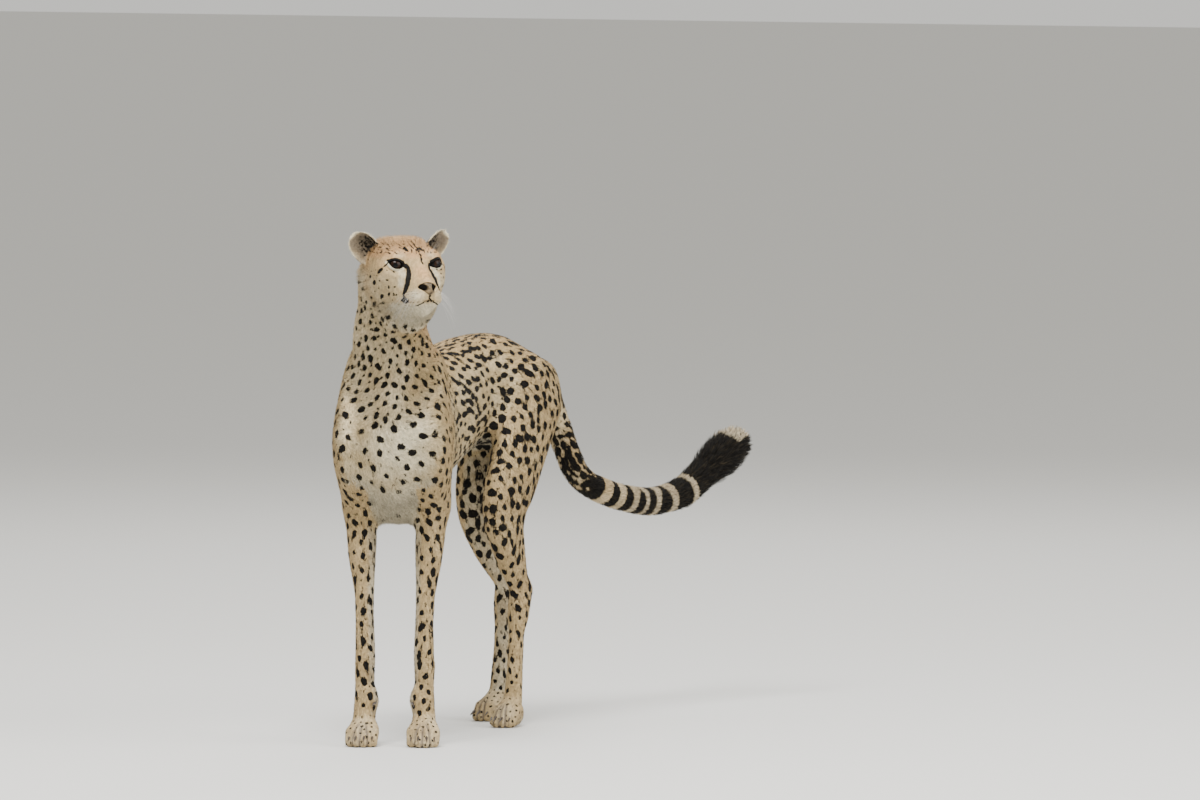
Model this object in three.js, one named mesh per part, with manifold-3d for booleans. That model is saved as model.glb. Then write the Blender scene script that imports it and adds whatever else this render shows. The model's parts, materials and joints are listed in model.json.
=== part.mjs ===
// A cheetah, life size, standing four-square with its back bent to its left and its head turned left.
// Millimetres. +X runs from the tail base to the breast, +Y is the animal's left, +Z is up.
// The flesh is one smooth field of muscles; it is meshed, thinned out and parted with narrow cuts.
import * as THREE from 'three';
import { mergeVertices } from 'three/addons/utils/BufferGeometryUtils.js';
import { triTable } from 'three/addons/objects/MarchingCubes.js';
import Module from 'manifold-3d';

const wasm = await Module();
wasm.setup();

// ---- Driving dimensions -------------------------------------------------------------------
const WITHERS = 772;
const RUMP = 768;
const CHEST_FLOOR = 424;
const CHEST_LENGTH = 320;
const LOIN_LENGTH = 230;
const PELVIS_LENGTH = 254;
const CHEST_HEADING = 18.3;
const LOIN_HEADING = -2.7;
const PELVIS_HEADING = -18.7;
const HEAD_HEADING = 50;
const HEAD_HEIGHT = 915;
const EYE_SPACING = 81;
const EYE_RADIUS = 15.5;
const EAR_HEIGHT = 62;
const EAR_WIDTH = 60;
const FORE_STANCE = 58;
const ELBOW = 458;
const WRIST = 172;
const KNEE = 418;
const HOCK = 250;
const TOE_RADIUS = 10.5;
const TAIL_GIRTH = 25;

const FIELD_BOX = new THREE.Box3(new THREE.Vector3(-980, -240, -24), new THREE.Vector3(560, 280, 1030));
const GRID_STEP = 6;
const SMOOTHING_PASSES = 5;
const FLESH_TRIANGLES = 3820;
const CUT = 0.3;

// ---- Frames: a place on the ground plan with a heading ------------------------------------
const UP = new THREE.Vector3(0, 0, 1);

class Frame {
  constructor(x, y, headingDegrees, height = 0) {
    const heading = THREE.MathUtils.degToRad(headingDegrees);
    this.forward = new THREE.Vector3(Math.cos(heading), Math.sin(heading), 0);
    this.left = new THREE.Vector3(-Math.sin(heading), Math.cos(heading), 0);
    this.origin = new THREE.Vector3(x, y, height);
    this.headingDegrees = headingDegrees;
  }

  at(forward, left, up) {
    return this.origin.clone()
      .addScaledVector(this.forward, forward)
      .addScaledVector(this.left, left)
      .addScaledVector(UP, up);
  }

  moved(forward, left, turnDegrees = 0) {
    const place = this.at(forward, left, 0);
    return new Frame(place.x, place.y, this.headingDegrees + turnDegrees, this.origin.z);
  }
}

const chestFrame = new Frame(400, 0, CHEST_HEADING);
const chestEnd = chestFrame.at(-CHEST_LENGTH, 0, 0);
const loinFrame = new Frame(chestEnd.x, chestEnd.y, LOIN_HEADING);
const loinEnd = loinFrame.at(-LOIN_LENGTH, 0, 0);
const pelvisFrame = new Frame(loinEnd.x, loinEnd.y, PELVIS_HEADING);
const headFrame = new Frame(399, 27, HEAD_HEADING, HEAD_HEIGHT);

// ---- The field: muscles are elliptic round cones, grouped and blended ---------------------
const groups = [];
const hollows = [];
const HOLLOW_BLEND = 6;

function group(innerBlend, joinBlend) {
  const made = { innerBlend, joinBlend, chains: [], bounds: new THREE.Box3() };
  groups.push(made);
  return made;
}

// Notes the room that a shape takes, so that the field can skip a group that is far away.
function widen(into, place, reach) {
  into.bounds.expandByPoint(place.clone().addScalar(reach));
  into.bounds.expandByPoint(place.clone().addScalar(-reach));
}

// An elliptic round cone from a to b. Its half-sizes are [across, deep] at each end.
function cone(a, b, sizeA, sizeB, across) {
  const axis = b.clone().sub(a);
  const length = axis.length();
  axis.normalize();
  const deepAxis = axis.clone().cross(across).normalize();
  const acrossAxis = deepAxis.clone().cross(axis).normalize();
  const from = [Math.min(...sizeA), ...sizeA];
  const to = [Math.min(...sizeB), ...sizeB];
  return { origin: a, axis, acrossAxis, deepAxis, length, from, to, reach: Math.max(...sizeA, ...sizeB) };
}

function muscle(into, a, b, sizeA, sizeB, across) {
  into.chains.push([cone(a, b, sizeA, sizeB, across)]);
  widen(into, a, Math.max(...sizeA));
  widen(into, b, Math.max(...sizeB));
}

// A lump: an ellipsoid with half-sizes [forward, left, up], pitched nose-up by some degrees.
function lump(into, frame, centre, halves, pitchDegrees = 0) {
  const pitch = THREE.MathUtils.degToRad(pitchDegrees);
  const axis = frame.forward.clone().multiplyScalar(Math.cos(pitch)).addScaledVector(UP, Math.sin(pitch));
  const deepAxis = axis.clone().cross(frame.left).normalize();
  const origin = frame.at(...centre);
  const reach = Math.max(...halves);
  into.chains.push([{
    origin, axis, acrossAxis: frame.left, deepAxis, length: 0, from: halves, to: halves, reach,
  }]);
  widen(into, origin, reach);
}

// A smooth limb through stations { at, size }: cones along a curve, whose sizes follow it.
function chain(into, stations, across) {
  const STEPS = 4;
  const places = new THREE.CatmullRomCurve3(stations.map(({ at }) => at), false, 'catmullrom', 0.5);
  const sizes = new THREE.CatmullRomCurve3(
    stations.map(({ size }) => new THREE.Vector3(size[0], size[1], 0)), false, 'catmullrom', 0.5);
  const cones = [];
  const count = (stations.length - 1) * STEPS;
  for (let i = 0; i < count; i += 1) {
    const [a, b] = [places.getPoint(i / count), places.getPoint((i + 1) / count)];
    const [sizeA, sizeB] = [sizes.getPoint(i / count), sizes.getPoint((i + 1) / count)];
    cones.push(cone(a, b, [sizeA.x, sizeA.y], [sizeB.x, sizeB.y], across));
  }
  cones.forEach(({ origin, reach }) => widen(into, origin, reach));
  widen(into, stations.at(-1).at, Math.max(...stations.at(-1).size));
  into.chains.push(cones);
}

// The distance to one shape, or Infinity where it is sure to be beyond the limit.
function shapeDistance(shape, x, y, z, limit) {
  const dx = x - shape.origin.x;
  const dy = y - shape.origin.y;
  const dz = z - shape.origin.z;
  const far = limit + shape.reach + shape.length;
  if (dx * dx + dy * dy + dz * dz > far * far) {
    return Infinity;
  }
  const along = dx * shape.axis.x + dy * shape.axis.y + dz * shape.axis.z;
  const share = shape.length > 0 ? Math.min(1, Math.max(0, along / shape.length)) : 0;
  const end = shape.from[0] + (shape.to[0] - shape.from[0]) * share;
  const across = shape.from[1] + (shape.to[1] - shape.from[1]) * share;
  const deep = shape.from[2] + (shape.to[2] - shape.from[2]) * share;
  const u = (along - share * shape.length) / end;
  const v = (dx * shape.acrossAxis.x + dy * shape.acrossAxis.y + dz * shape.acrossAxis.z) / across;
  const w = (dx * shape.deepAxis.x + dy * shape.deepAxis.y + dz * shape.deepAxis.z) / deep;
  const size = Math.sqrt(u * u + v * v + w * w);
  const slope = Math.sqrt((u / end) ** 2 + (v / across) ** 2 + (w / deep) ** 2);
  return slope < 1e-9 ? -Math.min(end, across, deep) : (size * (size - 1)) / slope;
}

function blended(a, b, blend) {
  const near = Math.max(blend - Math.abs(a - b), 0) / blend;
  return Math.min(a, b) - (near * near * blend) / 4;
}

const probe = new THREE.Vector3();

function flesh(x, y, z) {
  let total = Infinity;
  probe.set(x, y, z);
  for (const part of groups) {
    const clear = part.bounds.distanceToPoint(probe);
    if (clear > 0 && clear > total + part.joinBlend) {
      continue;
    }
    let nearest = Infinity;
    for (const cones of part.chains) {
      let closest = Infinity;
      for (const shape of cones) {
        closest = Math.min(closest, shapeDistance(shape, x, y, z, Math.max(0, closest)));
      }
      nearest = nearest === Infinity ? closest : blended(nearest, closest, part.innerBlend);
    }
    total = total === Infinity ? nearest : blended(total, nearest, part.joinBlend);
  }
  for (const hollow of hollows) {
    const depth = shapeDistance(hollow, x, y, z, HOLLOW_BLEND);
    if (depth < HOLLOW_BLEND) {
      total = -blended(-total, depth, HOLLOW_BLEND);
    }
  }
  return total;
}

// ---- Trunk and tail -----------------------------------------------------------------------
function trunkStation(frame, forward, top, bottom, half) {
  return { at: frame.at(forward, 0, (top + bottom) / 2), size: [half, (top - bottom) / 2] };
}

function buildTrunk() {
  const trunk = group(46, 40);
  chain(trunk, [
    trunkStation(chestFrame, -62, WITHERS - 66, CHEST_FLOOR + 38, 78),
    trunkStation(chestFrame, -130, WITHERS - 12, CHEST_FLOOR + 6, 92),
    trunkStation(chestFrame, -210, WITHERS - 12, CHEST_FLOOR, 104),
    trunkStation(chestFrame, -CHEST_LENGTH, WITHERS - 24, CHEST_FLOOR + 30, 104),
    trunkStation(loinFrame, -LOIN_LENGTH * 0.5, WITHERS - 20, CHEST_FLOOR + 78, 88),
    trunkStation(pelvisFrame, 0, RUMP, CHEST_FLOOR + 116, 76),
    trunkStation(pelvisFrame, -PELVIS_LENGTH * 0.4, RUMP - 2, CHEST_FLOOR + 134, 74),
    trunkStation(pelvisFrame, -PELVIS_LENGTH * 0.74, RUMP - 50, CHEST_FLOOR + 150, 58),
  ], chestFrame.left);
  // The breastbone's front end and the pelvis's seat bones round off the two ends.
  lump(trunk, chestFrame, [-52, 0, 598], [52, 66, 88], -12);
  lump(trunk, pelvisFrame, [-PELVIS_LENGTH * 0.84, 0, 646], [38, 46, 50], 0);
}

const TAIL_ROOT = -PELVIS_LENGTH - 28;
const tailCurve = new THREE.CatmullRomCurve3([
  pelvisFrame.at(TAIL_ROOT + 54, 0, 672),
  pelvisFrame.at(TAIL_ROOT - 2, 0, 584),
  pelvisFrame.at(TAIL_ROOT - 66, 0, 476),
  pelvisFrame.at(TAIL_ROOT - 160, 0, 434),
  pelvisFrame.at(TAIL_ROOT - 274, 0, 413),
  pelvisFrame.at(TAIL_ROOT - 372, 0, 426),
  pelvisFrame.at(TAIL_ROOT - 460, 0, 474),
  pelvisFrame.at(TAIL_ROOT - 532, 0, 516),
], false, 'catmullrom', 0.35);
const TAIL_STEPS = 20;

function tailRadius(share) {
  const root = 11 * Math.max(0, 1 - share / 0.16);
  const swell = 4 * THREE.MathUtils.smoothstep(share, 0.3, 0.8);
  const brush = 5 * THREE.MathUtils.smoothstep(share, 0.82, 0.95);
  const point = 1 - 0.14 * THREE.MathUtils.smoothstep(share, 0.95, 1);
  return (TAIL_GIRTH + swell + brush + root) * point;
}

function buildTail() {
  const tail = group(8, 26);
  const stations = [];
  for (let i = 0; i <= TAIL_STEPS; i += 1) {
    const share = i / TAIL_STEPS;
    const radius = tailRadius(share);
    stations.push({ at: tailCurve.getPointAt(share), size: [radius, radius] });
  }
  chain(tail, stations, pelvisFrame.left);
}

// ---- Legs ---------------------------------------------------------------------------------
const paws = [];

// One foot: the heel pad, four toes and the places of their claws.
function buildPaw(name, frame, width, isFore) {
  const paw = group(7, 12);
  const spread = width / 2 - TOE_RADIUS;
  lump(paw, frame, [-4, 0, 20], [27, spread + 4, 22]);
  lump(paw, frame, [8, 0, 38], [27, spread + 2, 17], -24);
  const claws = [];
  [-1, -0.37, 0.37, 1].forEach((share, index) => {
    const isInner = Math.abs(share) < 0.5;
    const reach = isInner ? 44 : 32;
    const knuckle = frame.at(reach - 36, share * spread * 0.9, 33);
    const middle = frame.at(reach - 12, share * spread, 27);
    const tip = frame.at(reach, share * spread * 1.02, 8.5);
    const thick = TOE_RADIUS;
    muscle(paw, knuckle, middle, [thick - 1, thick + 2], [thick, thick + 1], frame.left);
    muscle(paw, middle, tip, [thick, thick + 1], [thick, thick + 0.5], frame.left);
    claws.push({ name: `claw_${name}_${index + 1}`, at: frame.at(reach + 10, share * spread * 1.04, 20),
      frame: frame.moved(0, 0, share * 9), length: 17 });
  });
  if (isFore) {
    const inward = name.endsWith('left') ? -1 : 1;
    claws.push({ name: `claw_${name}_5`, at: frame.at(6, inward * (width / 2 - 12), 84),
      frame: frame.moved(0, 0, inward * -14), length: 16 });
  }
  paws.push(claws);
}

const FORE_PAW_BACK = -88;
const FORE_PAW_WIDTH = 64;
const HIND_PAW_WIDTH = 58;

function buildForeLeg(name, side) {
  const leg = group(26, 30);
  const across = chestFrame.left;
  const at = (forward, left, up) => chestFrame.at(forward, side * left, up);
  const blade = { at: at(-146, 66, WITHERS - 50), size: [30, 50] };
  const shoulder = { at: at(-52, 82, 590), size: [34, 56] };
  const elbow = { at: at(-138, 72, ELBOW + 6), size: [30, 46] };
  chain(leg, [blade, shoulder, elbow], across);
  muscle(leg, at(-158, 78, 610), at(-164, 74, 492), [28, 46], [25, 34], across);
  chain(leg, [
    { at: at(-140, 69, ELBOW - 4), size: [29, 40] },
    { at: at(-122, 65, ELBOW - 84), size: [28, 34] },
    { at: at(-110, 60, 300), size: [19.5, 26] },
    { at: at(-100, 58, 236), size: [18, 22] },
    { at: at(-97, 57, WRIST), size: [20, 22] },
    { at: at(-100, FORE_STANCE, 110), size: [19, 20] },
    { at: at(-92, FORE_STANCE, 58), size: [22, 21] },
  ], across);
  // The wrist pad behind the foot and the dewclaw's knuckle inside it.
  lump(leg, chestFrame.moved(-122, side * (FORE_STANCE + 4)), [0, 0, WRIST - 22], [11, 10, 15]);
  lump(leg, chestFrame.moved(-90, side * (FORE_STANCE - 16)), [0, 0, 90], [11, 8, 14], -50);
  buildPaw(`fore_${name}`, chestFrame.moved(FORE_PAW_BACK + 6, side * FORE_STANCE, side * 3),
    FORE_PAW_WIDTH, true);
}

// A hind leg stands in its own frame at the hip; the foot's places are forward of the hip.
const hindLegs = {
  left: { frame: new Frame(-262, 18, -8), side: 1, knee: 146, hock: 66, foot: 88 },
  right: { frame: new Frame(-290, -80, -17), side: -1, knee: 64, hock: -26, foot: -4 },
};

function buildHindLeg(name, { frame, side, knee, hock, foot }) {
  const leg = group(26, 30);
  const across = frame.left;
  const at = (forward, left, up) => frame.at(forward, side * left, up);
  lump(leg, frame, [6, side * -8, 646], [66, 36, 78], 12);
  chain(leg, [
    { at: at(14, -6, 616), size: [40, 66] },
    { at: at(knee * 0.56, 0, 520), size: [39, 64] },
    { at: at(knee - 14, 4, KNEE + 6), size: [32, 52] },
    { at: at((knee + hock) / 2 + 4, 2, 340), size: [21, 33] },
    { at: at(hock + 6, 0, HOCK + 26), size: [14, 21] },
    { at: at(hock + 2, 0, HOCK - 10), size: [17, 22] },
    { at: at(hock + 7, 0, 160), size: [15, 17] },
    { at: at(foot - 4, 0, 56), size: [18, 18] },
  ], across);
  // The ham behind the thigh, the calf and its tendon, and the point of the hock.
  muscle(leg, at(-30, -4, 622), at(knee * 0.45 + 4, 2, 452), [32, 38], [25, 34], across);
  muscle(leg, at(knee - 48, 2, 420), at(hock - 16, 0, HOCK + 22), [21, 27], [9, 11], across);
  muscle(leg, at(hock - 20, 0, HOCK + 16), at(hock - 6, 0, HOCK - 34), [13, 13], [12, 12], across);
  buildPaw(`hind_${name}`, frame.moved(foot + 6, 0, side * 4), HIND_PAW_WIDTH, false);
}

// ---- Neck and head ------------------------------------------------------------------------
function buildNeck() {
  const neck = group(40, 34);
  chain(neck, [
    { at: chestFrame.at(-122, 0, 668), size: [92, 96] },
    { at: chestFrame.at(-86, 0, 742), size: [80, 84] },
    { at: chestFrame.at(-62, -4, 800), size: [71, 72] },
    { at: headFrame.at(-46, 4, -58), size: [66, 62] },
  ], chestFrame.left);
  // The loose throat hair below the jaw.
  lump(neck, headFrame, [10, 2, -74], [46, 44, 30], -30);
}

const eyePlaces = [-1, 1].map((side) => headFrame.at(53, (side * EYE_SPACING) / 2, 22));

// The opening between the lids, in front of each eye.
function buildEyeHollows() {
  for (const side of [-1, 1]) {
    const opening = { chains: [], bounds: new THREE.Box3() };
    lump(opening, headFrame, [72, side * 43, 18], [15, 17, 9]);
    hollows.push(opening.chains[0][0]);
  }
}

function buildHead() {
  const skull = group(22, 22);
  lump(skull, headFrame, [-16, 0, 12], [76, 62, 54], 0);
  lump(skull, headFrame, [24, 0, 24], [46, 42, 34], -16);
  lump(skull, headFrame, [-58, 0, -12], [42, 54, 52], 0);
  for (const side of [-1, 1]) {
    // The crown's corner below the ear, the temple, the cheekbone, the jaw muscle and the ruff.
    lump(skull, headFrame, [-12, side * 34, 39], [40, 26, 23], 0);
    lump(skull, headFrame, [26, side * 46, 18], [34, 26, 26], 0);
    lump(skull, headFrame, [30, side * 44, -10], [38, 26, 30], 0);
    lump(skull, headFrame, [8, side * 36, -40], [50, 28, 32], -8);
    lump(skull, headFrame, [-24, side * 48, -18], [42, 23, 42], 0);
  }
  const face = group(16, 17);
  muscle(face, headFrame.at(50, 0, 18), headFrame.at(106, 0, -20), [26, 22], [17, 13], headFrame.left);
  muscle(face, headFrame.at(54, 0, -20), headFrame.at(92, 0, -34), [36, 34], [27, 23], headFrame.left);
  muscle(face, headFrame.at(80, 0, -62), headFrame.at(10, 0, -76), [22, 13], [38, 24], headFrame.left);
  lump(face, headFrame, [109, 0, -29], [11, 18, 12], -20);
  lump(face, headFrame, [97, 0, -62], [15, 17, 13], 0);
  for (const side of [-1, 1]) {
    // The brow, the pad below the eye, the whisker pad, the lip behind it and the lower jaw.
    lump(face, headFrame, [50, side * 37, 35], [17, 18, 9], -18);
    lump(face, headFrame, [64, side * 28, -8], [24, 17, 18], -24);
    lump(face, headFrame, [98, side * 16, -42], [22, 19, 17], -6);
    lump(face, headFrame, [64, side * 31, -36], [28, 16, 20], -8);
    muscle(face, headFrame.at(84, side * 8, -64), headFrame.at(20, side * 34, -62), [14, 13], [18, 18],
      headFrame.left);
  }
}

// ---- Meshing the field --------------------------------------------------------------------
const CORNERS = [
  [0, 0, 0], [1, 0, 0], [1, 1, 0], [0, 1, 0], [0, 0, 1], [1, 0, 1], [1, 1, 1], [0, 1, 1],
];
const EDGES = [
  [0, 1], [1, 2], [2, 3], [3, 0], [4, 5], [5, 6], [6, 7], [7, 4], [0, 4], [1, 5], [2, 6], [3, 7],
];
const BLOCK = 6;

// Samples the field on a grid. A block whose middle is far from the skin is filled with one value.
function sampleField(box, step) {
  const size = box.getSize(new THREE.Vector3());
  const count = [size.x, size.y, size.z].map((length) => Math.ceil(length / step / BLOCK) * BLOCK);
  const values = new Float32Array(count[0] * count[1] * count[2]);
  const safe = BLOCK * step * 1.6;
  const index = (i, j, k) => (k * count[1] + j) * count[0] + i;
  for (let bk = 0; bk < count[2]; bk += BLOCK) {
    for (let bj = 0; bj < count[1]; bj += BLOCK) {
      for (let bi = 0; bi < count[0]; bi += BLOCK) {
        const half = (BLOCK - 1) / 2;
        const middle = flesh(box.min.x + (bi + half) * step, box.min.y + (bj + half) * step,
          box.min.z + (bk + half) * step);
        const isFar = Math.abs(middle) > safe;
        for (let k = bk; k < bk + BLOCK; k += 1) {
          for (let j = bj; j < bj + BLOCK; j += 1) {
            for (let i = bi; i < bi + BLOCK; i += 1) {
              values[index(i, j, k)] = isFar ? middle
                : flesh(box.min.x + i * step, box.min.y + j * step, box.min.z + k * step);
            }
          }
        }
      }
    }
  }
  return { values, count, index };
}

// Marching cubes with shared vertices, faces pointing out.
function meshField(box, step) {
  const { values, count, index } = sampleField(box, step);
  const shared = new Map();
  const points = [];
  const faces = [];
  const vertexOn = (cell, edge) => {
    const a = cell.map((value, axis) => value + CORNERS[EDGES[edge][0]][axis]);
    const b = cell.map((value, axis) => value + CORNERS[EDGES[edge][1]][axis]);
    const [low, high] = index(...a) < index(...b) ? [a, b] : [b, a];
    const key = index(...low) * 8 + (high[0] - low[0]) + 2 * (high[1] - low[1]) + 4 * (high[2] - low[2]);
    if (!shared.has(key)) {
      const valueLow = values[index(...low)];
      const valueHigh = values[index(...high)];
      const share = Math.min(0.97, Math.max(0.03, valueLow / (valueLow - valueHigh)));
      shared.set(key, points.length);
      points.push([
        box.min.x + (low[0] + (high[0] - low[0]) * share) * step,
        box.min.y + (low[1] + (high[1] - low[1]) * share) * step,
        box.min.z + (low[2] + (high[2] - low[2]) * share) * step,
      ]);
    }
    return shared.get(key);
  };
  for (let k = 0; k < count[2] - 1; k += 1) {
    for (let j = 0; j < count[1] - 1; j += 1) {
      for (let i = 0; i < count[0] - 1; i += 1) {
        let code = 0;
        for (let corner = 0; corner < 8; corner += 1) {
          const [ci, cj, ck] = CORNERS[corner];
          code |= values[index(i + ci, j + cj, k + ck)] < 0 ? 1 << corner : 0;
        }
        if (code === 0 || code === 255) {
          continue;
        }
        for (let entry = code * 16; triTable[entry] !== -1; entry += 3) {
          const face = [0, 1, 2].map((turn) => vertexOn([i, j, k], triTable[entry + turn]));
          faces.push([face[0], face[2], face[1]]);
        }
      }
    }
  }
  return { points, faces };
}

// Taubin smoothing: each pass pulls every corner to its neighbours' middle, then a little way back.
function smoothed({ points, faces }, passes) {
  const ring = points.map(() => new Set());
  for (const [a, b, c] of faces) {
    ring[a].add(b).add(c);
    ring[b].add(a).add(c);
    ring[c].add(a).add(b);
  }
  const rings = ring.map((set) => [...set]);
  let current = points;
  for (let pass = 0; pass < passes * 2; pass += 1) {
    const pull = pass % 2 === 0 ? 0.5 : -0.52;
    const from = current;
    current = from.map((point, index) => {
      const around = rings[index];
      return point.map((value, axis) => {
        const middle = around.reduce((sum, other) => sum + from[other][axis], 0) / around.length;
        return value + (middle - value) * pull;
      });
    });
  }
  return { points: current, faces };
}

// ---- Thinning the mesh: edges collapse in order of the shape they would lose --------------
// Small features keep more faces: the weight makes a loss there count for more.
const faceMiddle = headFrame.at(40, 0, 0);

function detailWeight([x, y, z]) {
  const toHead = Math.hypot(x - faceMiddle.x, y - faceMiddle.y, z - faceMiddle.z);
  const head = 7 * (1 - THREE.MathUtils.smoothstep(toHead, 60, 130));
  const foot = 3 * (1 - THREE.MathUtils.smoothstep(z, 60, 110));
  return 1 + head + foot;
}

function planeQuadric(a, b, c, weight) {
  const normal = new THREE.Vector3().subVectors(b, a).cross(new THREE.Vector3().subVectors(c, a));
  const area = normal.length() / 2;
  normal.normalize();
  const { x, y, z } = normal;
  const d = -normal.dot(a);
  return [x * x, x * y, x * z, x * d, y * y, y * z, y * d, z * z, z * d, d * d]
    .map((value) => value * area * weight);
}

function quadricCost(q, x, y, z) {
  return q[0] * x * x + 2 * q[1] * x * y + 2 * q[2] * x * z + 2 * q[3] * x + q[4] * y * y
    + 2 * q[5] * y * z + 2 * q[6] * y + q[7] * z * z + 2 * q[8] * z + q[9];
}

// The point that loses least, or the edge's middle where the three planes do not meet in a point.
function bestPoint(q, a, b) {
  const matrix = new THREE.Matrix3().set(q[0], q[1], q[2], q[1], q[4], q[5], q[2], q[5], q[7]);
  const middle = a.clone().add(b).multiplyScalar(0.5);
  const scale = (q[0] + q[4] + q[7]) / 3;
  if (Math.abs(matrix.determinant()) > 1e-3 * scale ** 3) {
    const solved = new THREE.Vector3(-q[3], -q[6], -q[8]).applyMatrix3(matrix.invert());
    if (solved.distanceTo(middle) < a.distanceTo(b)) {
      return solved;
    }
  }
  return middle;
}

class Heap {
  constructor() {
    this.items = [];
  }

  push(item) {
    const { items } = this;
    let at = items.length;
    items.push(item);
    while (at > 0) {
      const parent = (at - 1) >> 1;
      if (items[parent].cost <= item.cost) {
        break;
      }
      items[at] = items[parent];
      at = parent;
    }
    items[at] = item;
  }

  pop() {
    const { items } = this;
    const top = items[0];
    const last = items.pop();
    if (items.length > 0) {
      let at = 0;
      for (;;) {
        let child = at * 2 + 1;
        if (child >= items.length) {
          break;
        }
        if (child + 1 < items.length && items[child + 1].cost < items[child].cost) {
          child += 1;
        }
        if (items[child].cost >= last.cost) {
          break;
        }
        items[at] = items[child];
        at = child;
      }
      items[at] = last;
    }
    return top;
  }
}

function thinned(mesh, targetFaces) {
  const points = mesh.points.map((point) => new THREE.Vector3(...point));
  const weights = mesh.points.map(detailWeight);
  const faces = mesh.faces.map((face) => [...face]);
  const facesOf = points.map(() => new Set());
  const quadrics = points.map(() => new Array(10).fill(0));
  const versions = new Int32Array(points.length);
  faces.forEach((face, index) => {
    const quadric = planeQuadric(...face.map((corner) => points[corner]), weights[face[0]]);
    for (const corner of face) {
      facesOf[corner].add(index);
      quadric.forEach((value, term) => {
        quadrics[corner][term] += value;
      });
    }
  });
  const neighbours = (corner) => {
    const found = new Set();
    for (const index of facesOf[corner]) {
      faces[index].forEach((other) => found.add(other));
    }
    found.delete(corner);
    return found;
  };
  const heap = new Heap();
  const consider = (a, b) => {
    const q = quadrics[a].map((value, term) => value + quadrics[b][term]);
    const place = bestPoint(q, points[a], points[b]);
    const length = points[a].distanceToSquared(points[b]);
    const cost = quadricCost(q, place.x, place.y, place.z) + 2e-3 * length * weights[a];
    heap.push({ a, b, place, cost, versionA: versions[a], versionB: versions[b] });
  };
  // A face must not turn over when one of its corners moves.
  const turnsOver = (corner, gone, place) => {
    for (const index of facesOf[corner]) {
      const face = faces[index];
      if (face.includes(gone)) {
        continue;
      }
      const before = face.map((other) => points[other]);
      const after = face.map((other) => (other === corner ? place : points[other]));
      const was = before[1].clone().sub(before[0]).cross(before[2].clone().sub(before[0]));
      const is = after[1].clone().sub(after[0]).cross(after[2].clone().sub(after[0]));
      if (was.dot(is) < 0.25 * was.length() * is.length() || is.length() < 1e-3) {
        return true;
      }
    }
    return false;
  };
  faces.forEach((face) => {
    for (let i = 0; i < 3; i += 1) {
      const [a, b] = [face[i], face[(i + 1) % 3]];
      if (a < b) {
        consider(a, b);
      }
    }
  });
  let left = faces.length;
  while (left > targetFaces && heap.items.length > 0) {
    const { a, b, place, versionA, versionB } = heap.pop();
    if (versions[a] !== versionA || versions[b] !== versionB) {
      continue;
    }
    const around = neighbours(a);
    const common = [...neighbours(b)].filter((corner) => around.has(corner));
    if (common.length !== 2 || turnsOver(a, b, place) || turnsOver(b, a, place)) {
      continue;
    }
    for (const index of facesOf[b]) {
      if (faces[index].includes(a)) {
        faces[index].forEach((corner) => facesOf[corner].delete(index));
        faces[index] = null;
        left -= 1;
      } else {
        faces[index] = faces[index].map((corner) => (corner === b ? a : corner));
        facesOf[a].add(index);
      }
    }
    points[a].copy(place);
    quadrics[b].forEach((value, term) => {
      quadrics[a][term] += value;
    });
    versions[a] += 1;
    versions[b] = -1;
    neighbours(a).forEach((other) => consider(a, other));
  }
  return { points: points.map((point) => point.toArray()), faces: faces.filter((face) => face !== null) };
}

// ---- Solids: joins and cuts ---------------------------------------------------------------
function solidFromArrays({ points, faces }) {
  return new wasm.Manifold(new wasm.Mesh({
    numProp: 3, vertProperties: new Float32Array(points.flat()), triVerts: new Uint32Array(faces.flat()),
  }));
}

function solidFromGeometry(geometry, matrix) {
  const bare = geometry.index ? geometry.toNonIndexed() : geometry.clone();
  bare.deleteAttribute('normal');
  bare.deleteAttribute('uv');
  bare.applyMatrix4(matrix);
  const merged = mergeVertices(bare, 1e-3);
  return new wasm.Manifold(new wasm.Mesh({
    numProp: 3,
    vertProperties: new Float32Array(merged.attributes.position.array),
    triVerts: new Uint32Array(merged.index.array),
  }));
}

function geometryFromSolid(solid) {
  const mesh = solid.getMesh();
  const geometry = new THREE.BufferGeometry();
  geometry.setAttribute('position', new THREE.BufferAttribute(new Float32Array(mesh.vertProperties), 3));
  geometry.setIndex(new THREE.BufferAttribute(new Uint32Array(mesh.triVerts), 1));
  return geometry;
}

// The matrix that takes X, Y and Z to a frame's forward, left and up at a place.
function placement(place, frame) {
  return new THREE.Matrix4().makeBasis(frame.forward, frame.left, UP).setPosition(place);
}

// Boxes that hold one side of a cut, `CUT` apart, so that two halves never touch.
function halves(solid, place, normal) {
  const across = new THREE.Vector3(1, 0, 0);
  const turn = new THREE.Quaternion().setFromUnitVectors(across, normal.clone().normalize());
  const reach = 3000;
  const sides = [-1, 1].map((side) => {
    const middle = new THREE.Vector3(side * (reach / 2 + CUT / 2), 0, 0);
    const matrix = new THREE.Matrix4().compose(place, turn, new THREE.Vector3(1, 1, 1));
    matrix.multiply(new THREE.Matrix4().makeTranslation(middle));
    return solidFromGeometry(new THREE.BoxGeometry(reach, reach, reach), matrix);
  });
  return sides.map((side) => solid.intersect(side));
}

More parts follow.
